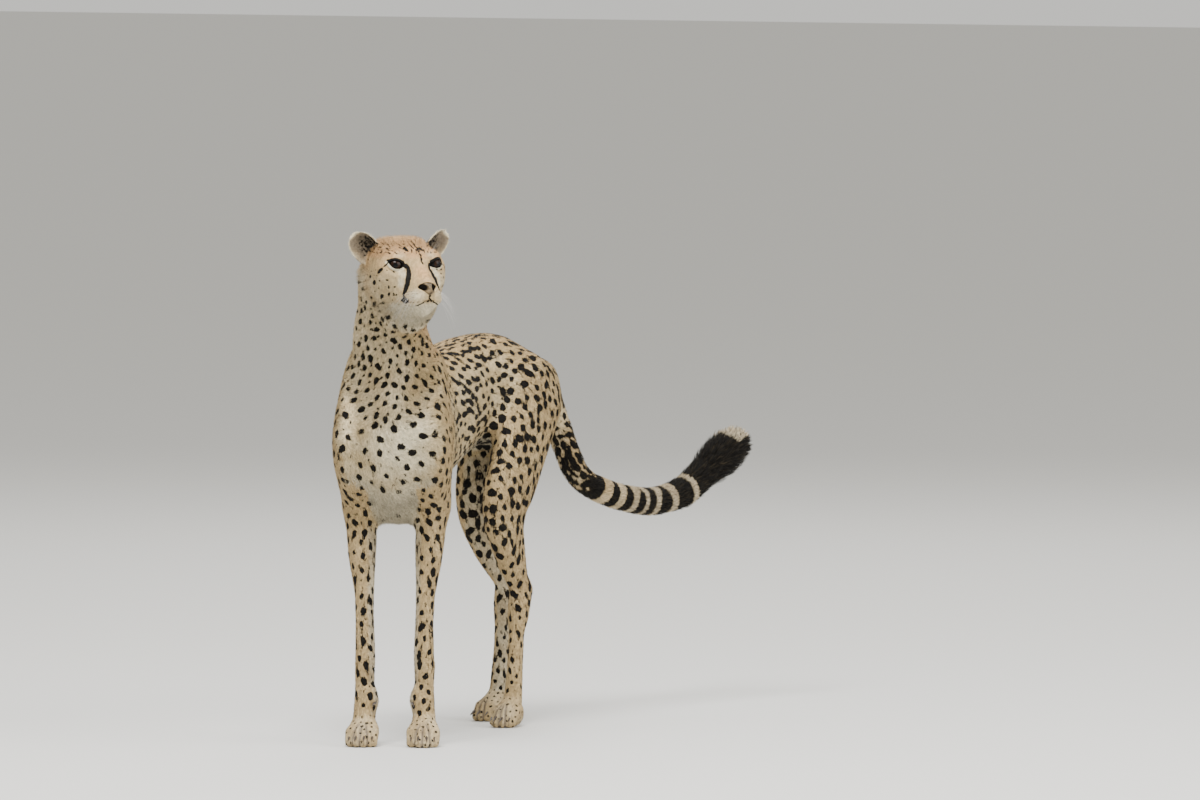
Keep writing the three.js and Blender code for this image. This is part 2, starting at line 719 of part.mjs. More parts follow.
// A prism over a side-on outline: [forward, up] points, from one width to another.
function sidePrism(frame, outline, fromLeft, toLeft, inset) {
  const mean = (axis) => outline.reduce((sum, point) => sum + point[axis], 0) / outline.length;
  const centre = [mean(0), mean(1)];
  const shape = new THREE.Shape(outline.map(([forward, up]) => {
    const away = new THREE.Vector2(forward - centre[0], up - centre[1]);
    away.setLength(away.length() - inset);
    return new THREE.Vector2(centre[0] + away.x, centre[1] + away.y);
  }));
  const [inner, outer] = fromLeft < toLeft ? [fromLeft + inset, toLeft] : [toLeft, fromLeft - inset];
  const geometry = new THREE.ExtrudeGeometry(shape, { depth: outer - inner, bevelEnabled: false, steps: 1 });
  const basis = new THREE.Matrix4().makeBasis(frame.forward, UP, frame.left.clone().negate());
  basis.setPosition(frame.at(0, outer, 0));
  return solidFromGeometry(geometry, basis);
}

// ---- Ears, eyes and claws -----------------------------------------------------------------
const EAR_ROWS = 6;
const EAR_COLUMNS = 6;
const EAR_TURN = 33;
const EAR_LEAN = THREE.MathUtils.degToRad(42);
const EAR_CUP = 17;
const EAR_THICKNESS = 4;
const EAR_RIM = 2.6;

// A cupped ear: a front and a back sheet that meet along a rounded rim. It faces out and forward.
function earSolid(side) {
  const facing = headFrame.moved(0, 0, side * EAR_TURN).forward;
  const root = headFrame.at(-4, side * 59, 32);
  const lean = headFrame.left.clone().multiplyScalar(side * Math.sin(EAR_LEAN))
    .addScaledVector(UP, Math.cos(EAR_LEAN));
  const across = lean.clone().cross(facing).normalize();
  const out = across.clone().cross(lean).normalize();
  const halfWidth = (share) => (EAR_WIDTH / 2) * (1 - share ** 2.6) ** 0.5 * (0.82 + 0.34 * share);
  const place = (row, column, isBack) => {
    const share = 0.985 * Math.sin(((row / EAR_ROWS) * Math.PI) / 2);
    const swing = (column / EAR_COLUMNS) * 2 - 1;
    const thickness = Math.abs(swing) === 1 || row === EAR_ROWS ? EAR_RIM : EAR_THICKNESS;
    const cup = EAR_CUP * (1 - swing * swing) * (1 - share * share * 0.6);
    return root.clone()
      .addScaledVector(lean, share * EAR_HEIGHT)
      .addScaledVector(across, swing * halfWidth(share))
      .addScaledVector(out, -cup - (isBack ? thickness : 0));
  };
  const corners = [];
  const quad = (row, column, isBack) => {
    const [a, b, c, d] = [[row, column], [row, column + 1], [row + 1, column], [row + 1, column + 1]]
      .map(([r, q]) => place(r, q, isBack));
    corners.push(...(isBack ? [a, d, b, a, c, d] : [a, b, d, a, d, c]));
  };
  for (let row = 0; row < EAR_ROWS; row += 1) {
    for (let column = 0; column < EAR_COLUMNS; column += 1) {
      quad(row, column, false);
      quad(row, column, true);
    }
  }
  // The two sheets close along the foot, inside the skull, and then round the rim.
  const border = [];
  for (let column = 0; column < EAR_COLUMNS; column += 1) {
    border.push([[0, column], [0, column + 1]], [[EAR_ROWS, column + 1], [EAR_ROWS, column]]);
  }
  for (let row = 0; row < EAR_ROWS; row += 1) {
    border.push([[row, EAR_COLUMNS], [row + 1, EAR_COLUMNS]], [[row + 1, 0], [row, 0]]);
  }
  for (const [from, to] of border) {
    const [a, b] = [place(...from, false), place(...to, false)];
    const [c, d] = [place(...from, true), place(...to, true)];
    corners.push(a, d, b, a, c, d);
  }
  return solidFromGeometry(new THREE.BufferGeometry().setFromPoints(corners), new THREE.Matrix4());
}

function eyeSolid(place, radius) {
  return solidFromGeometry(new THREE.SphereGeometry(radius, 12, 7), placement(place, headFrame));
}

function noseSolid(growth) {
  const geometry = new THREE.SphereGeometry(1, 10, 6);
  const matrix = placement(headFrame.at(112, 0, -23), headFrame);
  matrix.scale(new THREE.Vector3(16 + growth, 20.5 + growth, 13 + growth));
  return solidFromGeometry(geometry, matrix);
}

// A blunt claw: a cone that bends downwards towards its tip.
function clawSolid({ at, frame, length }) {
  const geometry = new THREE.ConeGeometry(3.6, length, 5, 2);
  geometry.rotateZ(-Math.PI / 2);
  const position = geometry.attributes.position;
  for (let i = 0; i < position.count; i += 1) {
    const along = position.getX(i) / length + 0.5;
    position.setZ(i, position.getZ(i) * 1.3 - 9 * along * along);
  }
  return solidFromGeometry(geometry, placement(at, frame));
}

// ---- Parting the body ---------------------------------------------------------------------
// Side-on outlines of the shoulder and the thigh: [forward, up] corners in the leg's frame.
const SHOULDER_OUTLINE = [
  [-34, 500], [-8, 560], [-22, 640], [-104, 748], [-196, 752], [-214, 640], [-212, 470], [-190, 380],
  [-40, 380],
];
const SHOULDER_INNER = 46;
const FORE_LEG_TOP = CHEST_FLOOR - 10;
const thighOutline = ({ knee }) => [
  [knee + 66, 380], [knee + 62, 470], [knee - 4, 560], [56, 690], [-50, 712], [-112, 640], [-96, 470],
  [-60, 380],
];
const THIGH_INNER = -34;
const HIND_LEG_TOP = CHEST_FLOOR + 104;
const HIND_PARTING = 12;

// A box in a frame, from one [forward, left, up] corner to the other.
function frameBox(frame, low, high) {
  const size = high.map((value, axis) => value - low[axis]);
  const middle = frame.at(...high.map((value, axis) => (value + low[axis]) / 2));
  return solidFromGeometry(new THREE.BoxGeometry(...size), placement(middle, frame));
}

// What belongs to one fore leg: a slab over the shoulder, and all below the chest on its side.
function foreLegRegion(side, inset) {
  const slab = sidePrism(chestFrame, SHOULDER_OUTLINE, side * SHOULDER_INNER, side * 260, inset);
  const [low, high] = side > 0 ? [inset, 260] : [-260, -inset];
  return slab.add(frameBox(chestFrame, [-320, low, -90], [40, high, FORE_LEG_TOP - inset]));
}

function hindLegRegion({ frame, side, knee }, inset) {
  const slab = sidePrism(frame, thighOutline({ knee }), side * THIGH_INNER, side * 200, inset);
  const [low, high] = side > 0 ? [HIND_PARTING + inset, 260] : [-260, HIND_PARTING - inset];
  return slab.add(frameBox(pelvisFrame, [-270, low, -90], [54 - inset, high, HIND_LEG_TOP - inset]));
}

// Parts a leg at level cuts, from the ground up.
function partAtLevels(leg, names, levels) {
  const pieces = {};
  let above = leg;
  levels.forEach((level, index) => {
    const [below, rest] = halves(above, new THREE.Vector3(0, 0, level), UP);
    pieces[names[index]] = below;
    above = rest;
  });
  pieces[names.at(-1)] = above;
  return pieces;
}

const PAW_TOP = 60;
const TAIL_CUTS = [0.15, 0.34, 0.52, 0.7, 0.86];

function partTail(body) {
  const pieces = {};
  const cuts = TAIL_CUTS.map((share) => [tailCurve.getPointAt(share), tailCurve.getTangentAt(share)]);
  let [trunk, tail] = halves(body, ...cuts[0]);
  cuts.slice(1).forEach((cut, index) => {
    const [near, far] = halves(tail, ...cut);
    pieces[`tail_${index + 1}`] = near;
    tail = far;
  });
  pieces[`tail_${TAIL_CUTS.length}`] = tail;
  return { trunk, pieces };
}

function partBody(whole) {
  const pieces = {};
  let rest = whole;
  for (const [name, side] of [['left', 1], ['right', -1]]) {
    const leg = rest.intersect(foreLegRegion(side, CUT));
    rest = rest.subtract(foreLegRegion(side, 0));
    Object.assign(pieces, partAtLevels(leg, [`fore_paw_${name}`, `forearm_${name}`, `upper_arm_${name}`],
      [PAW_TOP, ELBOW - 30]));
  }
  for (const [name, place] of Object.entries(hindLegs)) {
    const leg = rest.intersect(hindLegRegion(place, CUT));
    rest = rest.subtract(hindLegRegion(place, 0));
    Object.assign(pieces, partAtLevels(leg,
      [`hind_paw_${name}`, `metatarsus_${name}`, `shin_${name}`, `thigh_${name}`],
      [PAW_TOP, HOCK - 26, KNEE - 26]));
  }
  const tail = partTail(rest);
  Object.assign(pieces, tail.pieces);
  const toThroat = headFrame.forward.clone().multiplyScalar(0.69).addScaledVector(UP, 0.72);
  const toBreast = chestFrame.forward.clone().multiplyScalar(0.73).addScaledVector(UP, 0.68);
  const [belowHead, head] = halves(tail.trunk, headFrame.at(-20, 0, -32), toThroat);
  const [trunk, neck] = halves(belowHead, chestFrame.at(-70, 0, 720), toBreast);
  const [behindChest, chest] = halves(trunk, chestFrame.at(-CHEST_LENGTH - 8, 0, 0), chestFrame.forward);
  const [rump, loin] = halves(behindChest, pelvisFrame.at(6, 0, 0), pelvisFrame.forward);
  return Object.assign(pieces, { head, neck, chest, loin, rump });
}

// ---- The finished pieces ------------------------------------------------------------------
const COLOURS = {
  coat: 0xc9a678, cream: 0xd8cbb0, tail: 0x8a7460, ear: 0x6b5a4a,
  eye: 0x4a2a12, nose: 0x2a2220, claw: 0x3a332c,
};
const ROUGHNESS = { eye: 0.08, nose: 0.45, claw: 0.4 };

function finish(kind) {
  const roughness = ROUGHNESS[kind] ?? 0.9;
  return new THREE.MeshStandardMaterial({ color: COLOURS[kind], roughness, metalness: 0 });
}

const model = new THREE.Group();

function place(name, solid, kind) {
  const mesh = new THREE.Mesh(geometryFromSolid(solid), finish(kind));
  mesh.name = name;
  model.add(mesh);
}

// The largest piece of a solid that a cut has left in several.
function largest(solid) {
  return solid.decompose().reduce((best, piece) => (piece.volume() > best.volume() ? piece : best));
}

function buildCheetah() {
  buildTrunk();
  buildTail();
  buildForeLeg('left', 1);
  buildForeLeg('right', -1);
  buildHindLeg('left', hindLegs.left);
  buildHindLeg('right', hindLegs.right);
  buildNeck();
  buildHead();
  buildEyeHollows();
  const fine = smoothed(meshField(FIELD_BOX, GRID_STEP), SMOOTHING_PASSES);
  const ground = frameBox(new Frame(0, 0, 0), [-2000, -2000, -400], [2000, 2000, 0]);
  const whole = solidFromArrays(thinned(fine, FLESH_TRIANGLES)).subtract(ground);
  const pieces = partBody(whole);

  const skull = pieces.head;
  let head = skull.subtract(noseSolid(CUT));
  place('nose', skull.intersect(noseSolid(0)), 'nose');
  [['right', -1], ['left', 1]].forEach(([name, side], index) => {
    head = head.subtract(eyeSolid(eyePlaces[index], EYE_RADIUS + CUT));
    place(`eye_${name}`, eyeSolid(eyePlaces[index], EYE_RADIUS), 'eye');
    const clear = headFrame.at(0, side * 2 * CUT, CUT).sub(headFrame.origin);
    place(`ear_${name}`, largest(earSolid(side).subtract(skull)).translate(clear.toArray()), 'ear');
  });
  pieces.head = head;
  for (const [name, solid] of Object.entries(pieces)) {
    place(name, largest(solid), name.startsWith('tail') ? 'tail' : 'coat');
  }
  for (const paw of paws) {
    for (const claw of paw) {
      const clear = claw.frame.at(2 * CUT, 0, CUT).sub(claw.frame.origin);
      place(claw.name, largest(clawSolid(claw).subtract(whole)).translate(clear.toArray()), 'claw');
    }
  }
}

buildCheetah();
// The origin goes to the middle of the model's box, on the ground.
const bounds = new THREE.Box3().setFromObject(model);
const middle = bounds.getCenter(new THREE.Vector3());
model.position.set(-middle.x, -middle.y, 0);

export default model;
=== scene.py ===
"""The looks of a still, life-size cheetah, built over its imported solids.

One skin stands for all the nodes of flesh. It is worked out from those solids, drawn in by the
depth of the coat and given its folds. The coat is solid tufts that follow the lie of the fur.
Eyes, nose and whiskers are pieces of their own, and the claws keep their solids.
"""

from __future__ import annotations

import json
import logging
import math
from dataclasses import dataclass, fields
from enum import IntEnum

import bmesh
import bpy
import numpy as np
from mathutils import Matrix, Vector
from mathutils.bvhtree import BVHTree
from mathutils.kdtree import KDTree

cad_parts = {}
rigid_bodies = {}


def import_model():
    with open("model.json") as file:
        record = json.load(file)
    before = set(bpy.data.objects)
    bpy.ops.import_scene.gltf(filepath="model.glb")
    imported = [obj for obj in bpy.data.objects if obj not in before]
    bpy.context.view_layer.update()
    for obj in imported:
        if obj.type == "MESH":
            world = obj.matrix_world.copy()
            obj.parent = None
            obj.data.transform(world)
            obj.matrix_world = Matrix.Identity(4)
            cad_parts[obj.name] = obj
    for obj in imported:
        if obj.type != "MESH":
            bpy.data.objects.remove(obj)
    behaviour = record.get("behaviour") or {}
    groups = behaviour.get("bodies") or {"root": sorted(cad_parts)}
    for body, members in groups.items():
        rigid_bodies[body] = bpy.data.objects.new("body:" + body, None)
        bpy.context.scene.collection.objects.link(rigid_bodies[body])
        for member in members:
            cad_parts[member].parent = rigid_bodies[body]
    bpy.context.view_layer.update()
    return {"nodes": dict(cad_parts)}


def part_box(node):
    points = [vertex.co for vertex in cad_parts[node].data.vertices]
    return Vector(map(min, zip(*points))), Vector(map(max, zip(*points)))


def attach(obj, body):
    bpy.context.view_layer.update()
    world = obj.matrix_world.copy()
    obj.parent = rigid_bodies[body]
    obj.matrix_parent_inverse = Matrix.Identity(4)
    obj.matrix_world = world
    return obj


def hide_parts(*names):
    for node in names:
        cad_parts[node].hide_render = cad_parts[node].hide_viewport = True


LOG = logging.getLogger("cheetah")
MM = 0.001
UP = np.array([0.0, 0.0, 1.0])
SEED = 20
PATCH = 0.003


class Side(IntEnum):
    """A side of the body, which is also its sign along the head's own left."""

    LEFT = 1
    RIGHT = -1


# ---- Small sums ----
def smooth_step(low: float, high: float, value: np.ndarray) -> np.ndarray:
    """A smooth ramp from 0 at low to 1 at high.

    Args:
        low: Where the ramp starts; it may be the larger of the two.
        high: Where it ends.
        value: The values to place on it.

    Returns:
        The share of the ramp for each value.
    """
    share = np.clip((value - low) / (high - low), 0.0, 1.0)
    return share * share * (3.0 - 2.0 * share)


def unit(vectors: np.ndarray) -> np.ndarray:
    """The vectors at length 1, and unchanged where they have none."""
    size = np.linalg.norm(vectors, axis=-1, keepdims=True)
    return vectors / np.where(size < 1e-9, 1.0, size)


def bump_at(points: np.ndarray, centre: tuple, reach: tuple) -> np.ndarray:
    """A soft bump, 1 at its centre and fading to nothing at about twice its reach.

    Args:
        points: Places, one a row.
        centre: The middle of the bump, in the same axes.
        reach: How far it spreads along each axis.

    Returns:
        The height of the bump at each place.
    """
    away = (points - np.array(centre)) / np.array(reach)
    return np.exp(-(away**2).sum(1))


def node_kind(node: str) -> str:
    """The kind of part a node is, such as fore_paw for fore_paw_left."""
    return node.removesuffix("_left").removesuffix("_right")


# ---- Meshes ----
def add_mesh(name: str, points: np.ndarray, faces: np.ndarray, smooth: bool = True) -> bpy.types.Object:
    """Makes a mesh object from arrays and links it to the scene.

    Args:
        name: The object's name.
        points: Vertex places, one a row, in metres.
        faces: Vertex numbers, one face a row, all faces with as many corners.
        smooth: Whether its faces shade smoothly.

    Returns:
        The new object.
    """
    mesh = bpy.data.meshes.new(name)
    corners = faces.shape[1]
    mesh.vertices.add(len(points))
    mesh.vertices.foreach_set("co", np.ascontiguousarray(points, np.float32).ravel())
    mesh.loops.add(faces.size)
    mesh.loops.foreach_set("vertex_index", np.ascontiguousarray(faces, np.int32).ravel())
    mesh.polygons.add(len(faces))
    mesh.polygons.foreach_set("loop_start", np.arange(0, faces.size, corners, dtype=np.int32))
    mesh.update(calc_edges=True)
    mesh.polygons.foreach_set("use_smooth", np.full(len(faces), smooth))
    piece = bpy.data.objects.new(name, mesh)
    bpy.context.scene.collection.objects.link(piece)
    return piece


def read(items: bpy.types.bpy_prop_collection, name: str, width: int, kind: type = np.float32) -> np.ndarray:
    """What a mesh keeps under a name for each of its items, one a row."""
    flat = np.zeros(len(items) * width, kind)
    items.foreach_get(name, flat)
    return flat.reshape(-1, width)


def mesh_points(mesh: bpy.types.Mesh) -> np.ndarray:
    """The places of a mesh's vertices, one a row."""
    return read(mesh.vertices, "co", 3).astype(float)


def set_points(mesh: bpy.types.Mesh, points: np.ndarray) -> None:
    """Moves a mesh's vertices to new places."""
    mesh.vertices.foreach_set("co", points.astype(np.float32).ravel())
    mesh.update()


def point_tree(points: np.ndarray) -> KDTree:
    """A tree that finds the points near a place."""
    tree = KDTree(len(points))
    for number, point in enumerate(points):
        tree.insert(point, number)
    tree.balance()
    return tree


def mesh_normals(mesh: bpy.types.Mesh) -> np.ndarray:
    """The normals of a mesh's vertices, one a row."""
    return read(mesh.vertex_normals, "vector", 3).astype(float)


def mesh_triangles(mesh: bpy.types.Mesh) -> np.ndarray:
    """The vertex numbers of a mesh's triangles, one a row."""
    mesh.calc_loop_triangles()
    return read(mesh.loop_triangles, "vertices", 3, np.int32)


def mesh_edges(mesh: bpy.types.Mesh) -> np.ndarray:
    """The vertex numbers of a mesh's edges, one a row."""
    return read(mesh.edges, "vertices", 2, np.int32)


def store(mesh: bpy.types.Mesh, name: str, values: np.ndarray) -> None:
    """Keeps one number a vertex in a mesh, for a material to read.

    Args:
        mesh: The mesh.
        name: The name that the material asks for.
        values: One number for each vertex.
    """
    layer = mesh.attributes.new(name, "FLOAT", "POINT")
    layer.data.foreach_set("value", values.astype(np.float32))


def applied(piece: bpy.types.Object) -> bpy.types.Object:
    """Turns a piece's modifiers into its mesh.

    Args:
        piece: An object with modifiers.

    Returns:
        The same object, with the changed mesh and no modifiers.
    """
    graph = bpy.context.evaluated_depsgraph_get()
    mesh = bpy.data.meshes.new_from_object(piece.evaluated_get(graph))
    old = piece.data
    piece.modifiers.clear()
    piece.data = mesh
    bpy.data.meshes.remove(old)
    return piece


@dataclass
class Net:
    """The edges of a mesh, over which values are spread and smoothed.

    Attributes:
        edges: The vertex numbers of each edge.
        count: How many vertices there are.
    """

    edges: np.ndarray
    count: int

    def __post_init__(self) -> None:
        """Counts the neighbours of each vertex."""
        degree = np.bincount(self.edges.ravel(), minlength=self.count)
        self.degree = np.maximum(degree, 1).astype(float)

    def mean(self, values: np.ndarray) -> np.ndarray:
        """The mean of each vertex's neighbours.

        Args:
            values: One row a vertex.

        Returns:
            The means, one row a vertex.
        """
        one, other = self.edges[:, 0], self.edges[:, 1]
        out = np.empty_like(values)
        for column in range(values.shape[1]):
            line = values[:, column]
            out[:, column] = np.bincount(one, line[other], self.count)
            out[:, column] += np.bincount(other, line[one], self.count)
        return out / self.degree[:, None]

    def smoothed(self, values: np.ndarray, rounds: int, weight: np.ndarray | None = None) -> np.ndarray:
        """Values moved half way to their neighbours' mean, again and again.

        Args:
            values: One row a vertex.
            rounds: How many times.
            weight: How many of those rounds each vertex takes part in, from 0 to 1.

        Returns:
            The smoothed values.
        """
        out = values.copy()
        for turn in range(rounds):
            step = 0.5 if weight is None else 0.5 * (weight * rounds > turn)[:, None]
            out += step * (self.mean(out) - out)
        return out

    def largest_shell(self) -> np.ndarray:
        """Which vertices belong to the largest joined piece."""
        label = np.arange(self.count)
        while True:
            low = np.minimum(label[self.edges[:, 0]], label[self.edges[:, 1]])
            fresh = label.copy()
            np.minimum.at(fresh, self.edges[:, 0], low)
            np.minimum.at(fresh, self.edges[:, 1], low)
            fresh = fresh[fresh]
            if (fresh == label).all():
                break
            label = fresh
        return label == np.bincount(label).argmax()


# ---- Anatomy ----
@dataclass(frozen=True)
class CoatZone:
    """How the coat grows on one kind of part, in millimetres.

    Attributes:
        length: How long a tuft is.
        width: How wide it is at its widest.
        stand: How far its tip stands off the skin.
        spacing: The mean distance from one tuft to the next.
        rings: How many lengths a tuft bends in.
    """

    length: float
    width: float
    stand: float
    spacing: float
    rings: int = 1


ZONES = {
    "head": CoatZone(6.0, 0.75, 1.7, 1.4),
    "ear": CoatZone(5.2, 0.7, 1.1, 1.3),
    "neck": CoatZone(12.0, 1.15, 3.6, 2.15, 2),
    "chest": CoatZone(10.0, 1.2, 2.2, 2.15),
    "loin": CoatZone(9.0, 1.15, 1.7, 2.1),
    "rump": CoatZone(9.0, 1.15, 1.7, 2.1),
    "upper_arm": CoatZone(9.5, 1.2, 2.1, 2.35),
    "forearm": CoatZone(8.0, 1.1, 1.7, 2.2),
    "fore_paw": CoatZone(5.0, 0.85, 1.0, 1.8),
    "thigh": CoatZone(9.0, 1.2, 1.8, 2.15),
    "shin": CoatZone(9.0, 1.2, 1.9, 2.3),
    "metatarsus": CoatZone(7.0, 1.1, 1.5, 2.1),
    "hind_paw": CoatZone(5.0, 0.85, 1.0, 1.8),
    "tail_1": CoatZone(14.0, 1.3, 4.0, 2.3),
    "tail_2": CoatZone(15.0, 1.3, 4.6, 2.2),
    "tail_3": CoatZone(17.0, 1.3, 5.6, 2.2, 2),
    "tail_4": CoatZone(20.0, 1.4, 7.5, 2.2, 2),
    "tail_5": CoatZone(25.0, 1.5, 14.0, 2.1, 2),
}


@dataclass
class Anatomy:
    """Where the parts of the body lie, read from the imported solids.

    Attributes:
        flesh: The nodes that the skin stands for.
        mid_eyes: The point half way between the eyes.
        forward: The way the head faces.
        left: The head's own left.
        eye_radius: The radius of an eyeball.
        eye_half_spacing: Half the distance between the eyes.
    """

    flesh: list[str]
    mid_eyes: np.ndarray
    forward: np.ndarray
    left: np.ndarray
    eye_radius: float
    eye_half_spacing: float

    @classmethod
    def from_nodes(cls: type["Anatomy"], nodes: dict[str, bpy.types.Object]) -> "Anatomy":
        """Reads the head's axes and the list of flesh from the nodes.

        Args:
            nodes: The CAD nodes by name.

        Returns:
            The anatomy.
        """
        left_eye, right_eye = node_centre("eye_left"), node_centre("eye_right")
        left = unit(left_eye - right_eye)
        low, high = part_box("eye_left")
        flesh = [n for n in sorted(nodes) if not n.startswith(("claw", "eye", "nose"))]
        return cls(
            flesh=flesh,
            mid_eyes=(left_eye + right_eye) / 2,
            forward=unit(np.cross(left, UP)),
            left=left,
            eye_radius=(high.z - low.z) / 2,
            eye_half_spacing=float(np.linalg.norm(left_eye - right_eye)) / 2,
        )

    def in_head(self, points: np.ndarray) -> np.ndarray:
        """Places as forward, left and up from between the eyes, in millimetres."""
        away = points - self.mid_eyes
        return np.stack([away @ self.forward, away @ self.left, away[:, 2]], 1) / MM

    def from_head(self, local: np.ndarray) -> np.ndarray:
        """Places in the frame from forward, left and up in the head, in millimetres."""
        local = np.atleast_2d(local) * MM
        turned = local[:, :1] * self.forward + local[:, 1:2] * self.left + local[:, 2:] * UP
        return self.mid_eyes + turned

    def way(self, forward: float, left: float, up: float) -> np.ndarray:
        """A direction in the frame from the head's own axes."""
        return unit(forward * self.forward + left * self.left + up * UP)


def node_centre(node: str) -> np.ndarray:
    """The middle of a node's box."""
    low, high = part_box(node)
    return (np.array(low) + np.array(high)) / 2


def nose_middle(anatomy: Anatomy) -> np.ndarray:
    """The middle of the nose in the head's axes, in millimetres."""
    return anatomy.in_head(node_centre("nose")[None])[0]


# ---- The skin ----
@dataclass
class Skin:
    """The one skin of the whole body.

    Attributes:
        anatomy: Where the parts lie.
        voxel: The grain of the first, even mesh.
        most_triangles: How many triangles the thinned skin aims at.
        gap_closing: How far each solid grows to meet its neighbour across their thin gap.
        ear_growth: How far an ear grows, so that its rim keeps a thickness.
        toe_groove: How deep the grooves between the toes are, in millimetres.
    """

    anatomy: Anatomy
    voxel: float = 0.0026
    most_triangles: int = 178_000
    gap_closing: float = 0.0005
    ear_growth: float = 0.0012
    toe_groove: float = 3.6

    def build(self) -> bpy.types.Object:
        """Makes the skin from the solids.

        Returns:
            The skin, with its node and coat fields in this object's own arrays.
        """
        piece = self._closed_flesh()
        self._name_parts(mesh_points(piece.data))
        self._relax(piece)
        piece = self._thin(piece)
        self._name_parts(mesh_points(piece.data))
        self._draw_in(piece)
        refine_face(piece, self.anatomy)
        self._name_parts(mesh_points(piece.data))
        Face(self.anatomy).sculpt(piece)
        self._part_toes(piece)
        self.piece = piece
        self.points = mesh_points(piece.data)
        self.normals = mesh_normals(piece.data)
        self.triangles = mesh_triangles(piece.data)
        self.net = Net(mesh_edges(piece.data), len(self.points))
        self.tail_share = self._tail_share()
        self.lie = self._lie_of_coat()
        LOG.info("skin: %d triangles", len(self.triangles))
        return piece

    def _closed_flesh(self) -> bpy.types.Object:
        """Joins the flesh into one even, closed mesh and keeps its outside."""
        parts, faces, count = [], [], 0
        bare = ["eye_left", "eye_right", "nose"]
        for node in self.anatomy.flesh + bare:
            mesh = bpy.data.objects[node].data
            welded, corners = weld(mesh_points(mesh), mesh_triangles(mesh))
            growth = self.ear_growth if node.startswith("ear") else self.gap_closing
            parts.append(welded + point_normals(welded, corners) * growth)
            faces.append(corners + count)
            count += len(welded)
        self.solid_points = np.concatenate(parts)
        self.solid_faces = np.concatenate(faces)
        numbers = list(range(len(self.anatomy.flesh))) + [self.anatomy.flesh.index("head")] * len(bare)
        self.solid_nodes = np.repeat(numbers, [len(f) for f in faces])
        piece = add_mesh("skin", self.solid_points, self.solid_faces)
        remesh = piece.modifiers.new("even", "REMESH")
        remesh.mode = "VOXEL"
        remesh.voxel_size = self.voxel
        applied(piece)
        points, edges = mesh_points(piece.data), mesh_edges(piece.data)
        kept = Net(edges, len(points)).largest_shell()
        quads = read(piece.data.loops, "vertex_index", 1, np.int32).reshape(-1, 4)
        quads = quads[kept[quads[:, 0]]]
        renumber = np.cumsum(kept) - 1
        bpy.data.objects.remove(piece)
        LOG.info("even skin: %d points", kept.sum())
        return add_mesh("skin", points[kept], renumber[quads])

    def _name_parts(self, points: np.ndarray) -> None:
        """Finds which solid each point of the skin belongs to."""
        tree = BVHTree.FromPolygons(self.solid_points.tolist(), self.solid_faces.tolist())
        nearest = [tree.find_nearest(point)[2] for point in points.tolist()]
        self.node_index = self.solid_nodes[np.array(nearest)]
        kinds = [node_kind(n) for n in self.anatomy.flesh]
        self.kind_names = sorted(set(kinds))
        kind_numbers = np.array([self.kind_names.index(kind) for kind in kinds])
        self.kind_index = kind_numbers[self.node_index]

    def is_kind(self, *kinds: str) -> np.ndarray:
        """Which points of the skin belong to parts of these kinds."""
        wanted = [i for i, name in enumerate(self.kind_names) if name in kinds]
        return np.isin(self.kind_index, wanted)

    def is_node(self, node: str) -> np.ndarray:
        """Which points of the skin belong to one node."""
        return self.node_index == self.anatomy.flesh.index(node)

    def by_kind(self, numbers: dict[str, float], net: Net, rounds: int) -> np.ndarray:
        """A number for each kind of part, softened where parts meet.

        Args:
            numbers: The number for each kind.
            net: The skin's net.
            rounds: How far the change from part to part is spread.

        Returns:
            One number for each point.
        """
        values = np.array([numbers[kind] for kind in self.kind_names], float)
        return net.smoothed(values[self.kind_index][:, None], rounds)[:, 0]

    def _relax(self, piece: bpy.types.Object) -> None:
        """Smooths the facets of the solids away, without thinning the limbs."""
        points = mesh_points(piece.data)
        net = Net(mesh_edges(piece.data), len(points))
        share = np.full(len(points), 1.0)
        share[self.is_kind("head")] = 0.16
        share[self.is_kind("ear")] = 0.06
        share[self.is_kind("fore_paw", "hind_paw")] = 0.08
        share[self.is_kind("forearm", "metatarsus", "shin")] = 0.4
        share = net.smoothed(share[:, None], 20)[:, 0]
        rounds = 90
        flat = net.smoothed(points, rounds, share)
        lost = net.smoothed(points - flat, rounds, share)
        set_points(piece.data, flat + lost)

    def _thin(self, piece: bpy.types.Object) -> bpy.types.Object:
        """Spares the head and lets the body's mesh grow coarser."""
        group = piece.vertex_groups.new(name="coarse")
        coarse = ~self.is_kind("head", "ear", "fore_paw", "hind_paw")
        group.add(np.nonzero(coarse)[0].tolist(), 1.0, "REPLACE")
        less = piece.modifiers.new("thin", "DECIMATE")
        triangles = 2 * len(piece.data.polygons)
        less.ratio = self.most_triangles / triangles
        less.vertex_group = "coarse"
        less.vertex_group_factor = 10.0
        applied(piece)
        piece.vertex_groups.clear()
        LOG.info("thinned skin: %d triangles from %d", len(piece.data.polygons), triangles)
        return piece

    def _draw_in(self, piece: bpy.types.Object) -> None:
        """Draws the skin in by the depth of the coat."""
        points = mesh_points(piece.data)
        net = Net(mesh_edges(piece.data), len(points))
        depths = {kind: 0.8 * ZONES[kind].stand for kind in self.kind_names}
        depths["ear"] = (self.ear_growth / MM) + 0.2
        depths["tail_5"] *= 0.5
        depths["tail_4"] *= 0.7
        depth = self.by_kind(depths, net, 40)
        normals = unit(net.smoothed(mesh_normals(piece.data), 2))
        points -= normals * (depth * MM)[:, None]
        points[:, 2] = np.maximum(points[:, 2], 0.3 * MM)
        set_points(piece.data, points)

    def _part_toes(self, piece: bpy.types.Object) -> None:
        """Presses the grooves between the toes into the paws."""
        points = mesh_points(piece.data)
        points -= mesh_normals(piece.data) * (self.toe_groove * MM * toe_grooves(points))[:, None]
        set_points(piece.data, points)

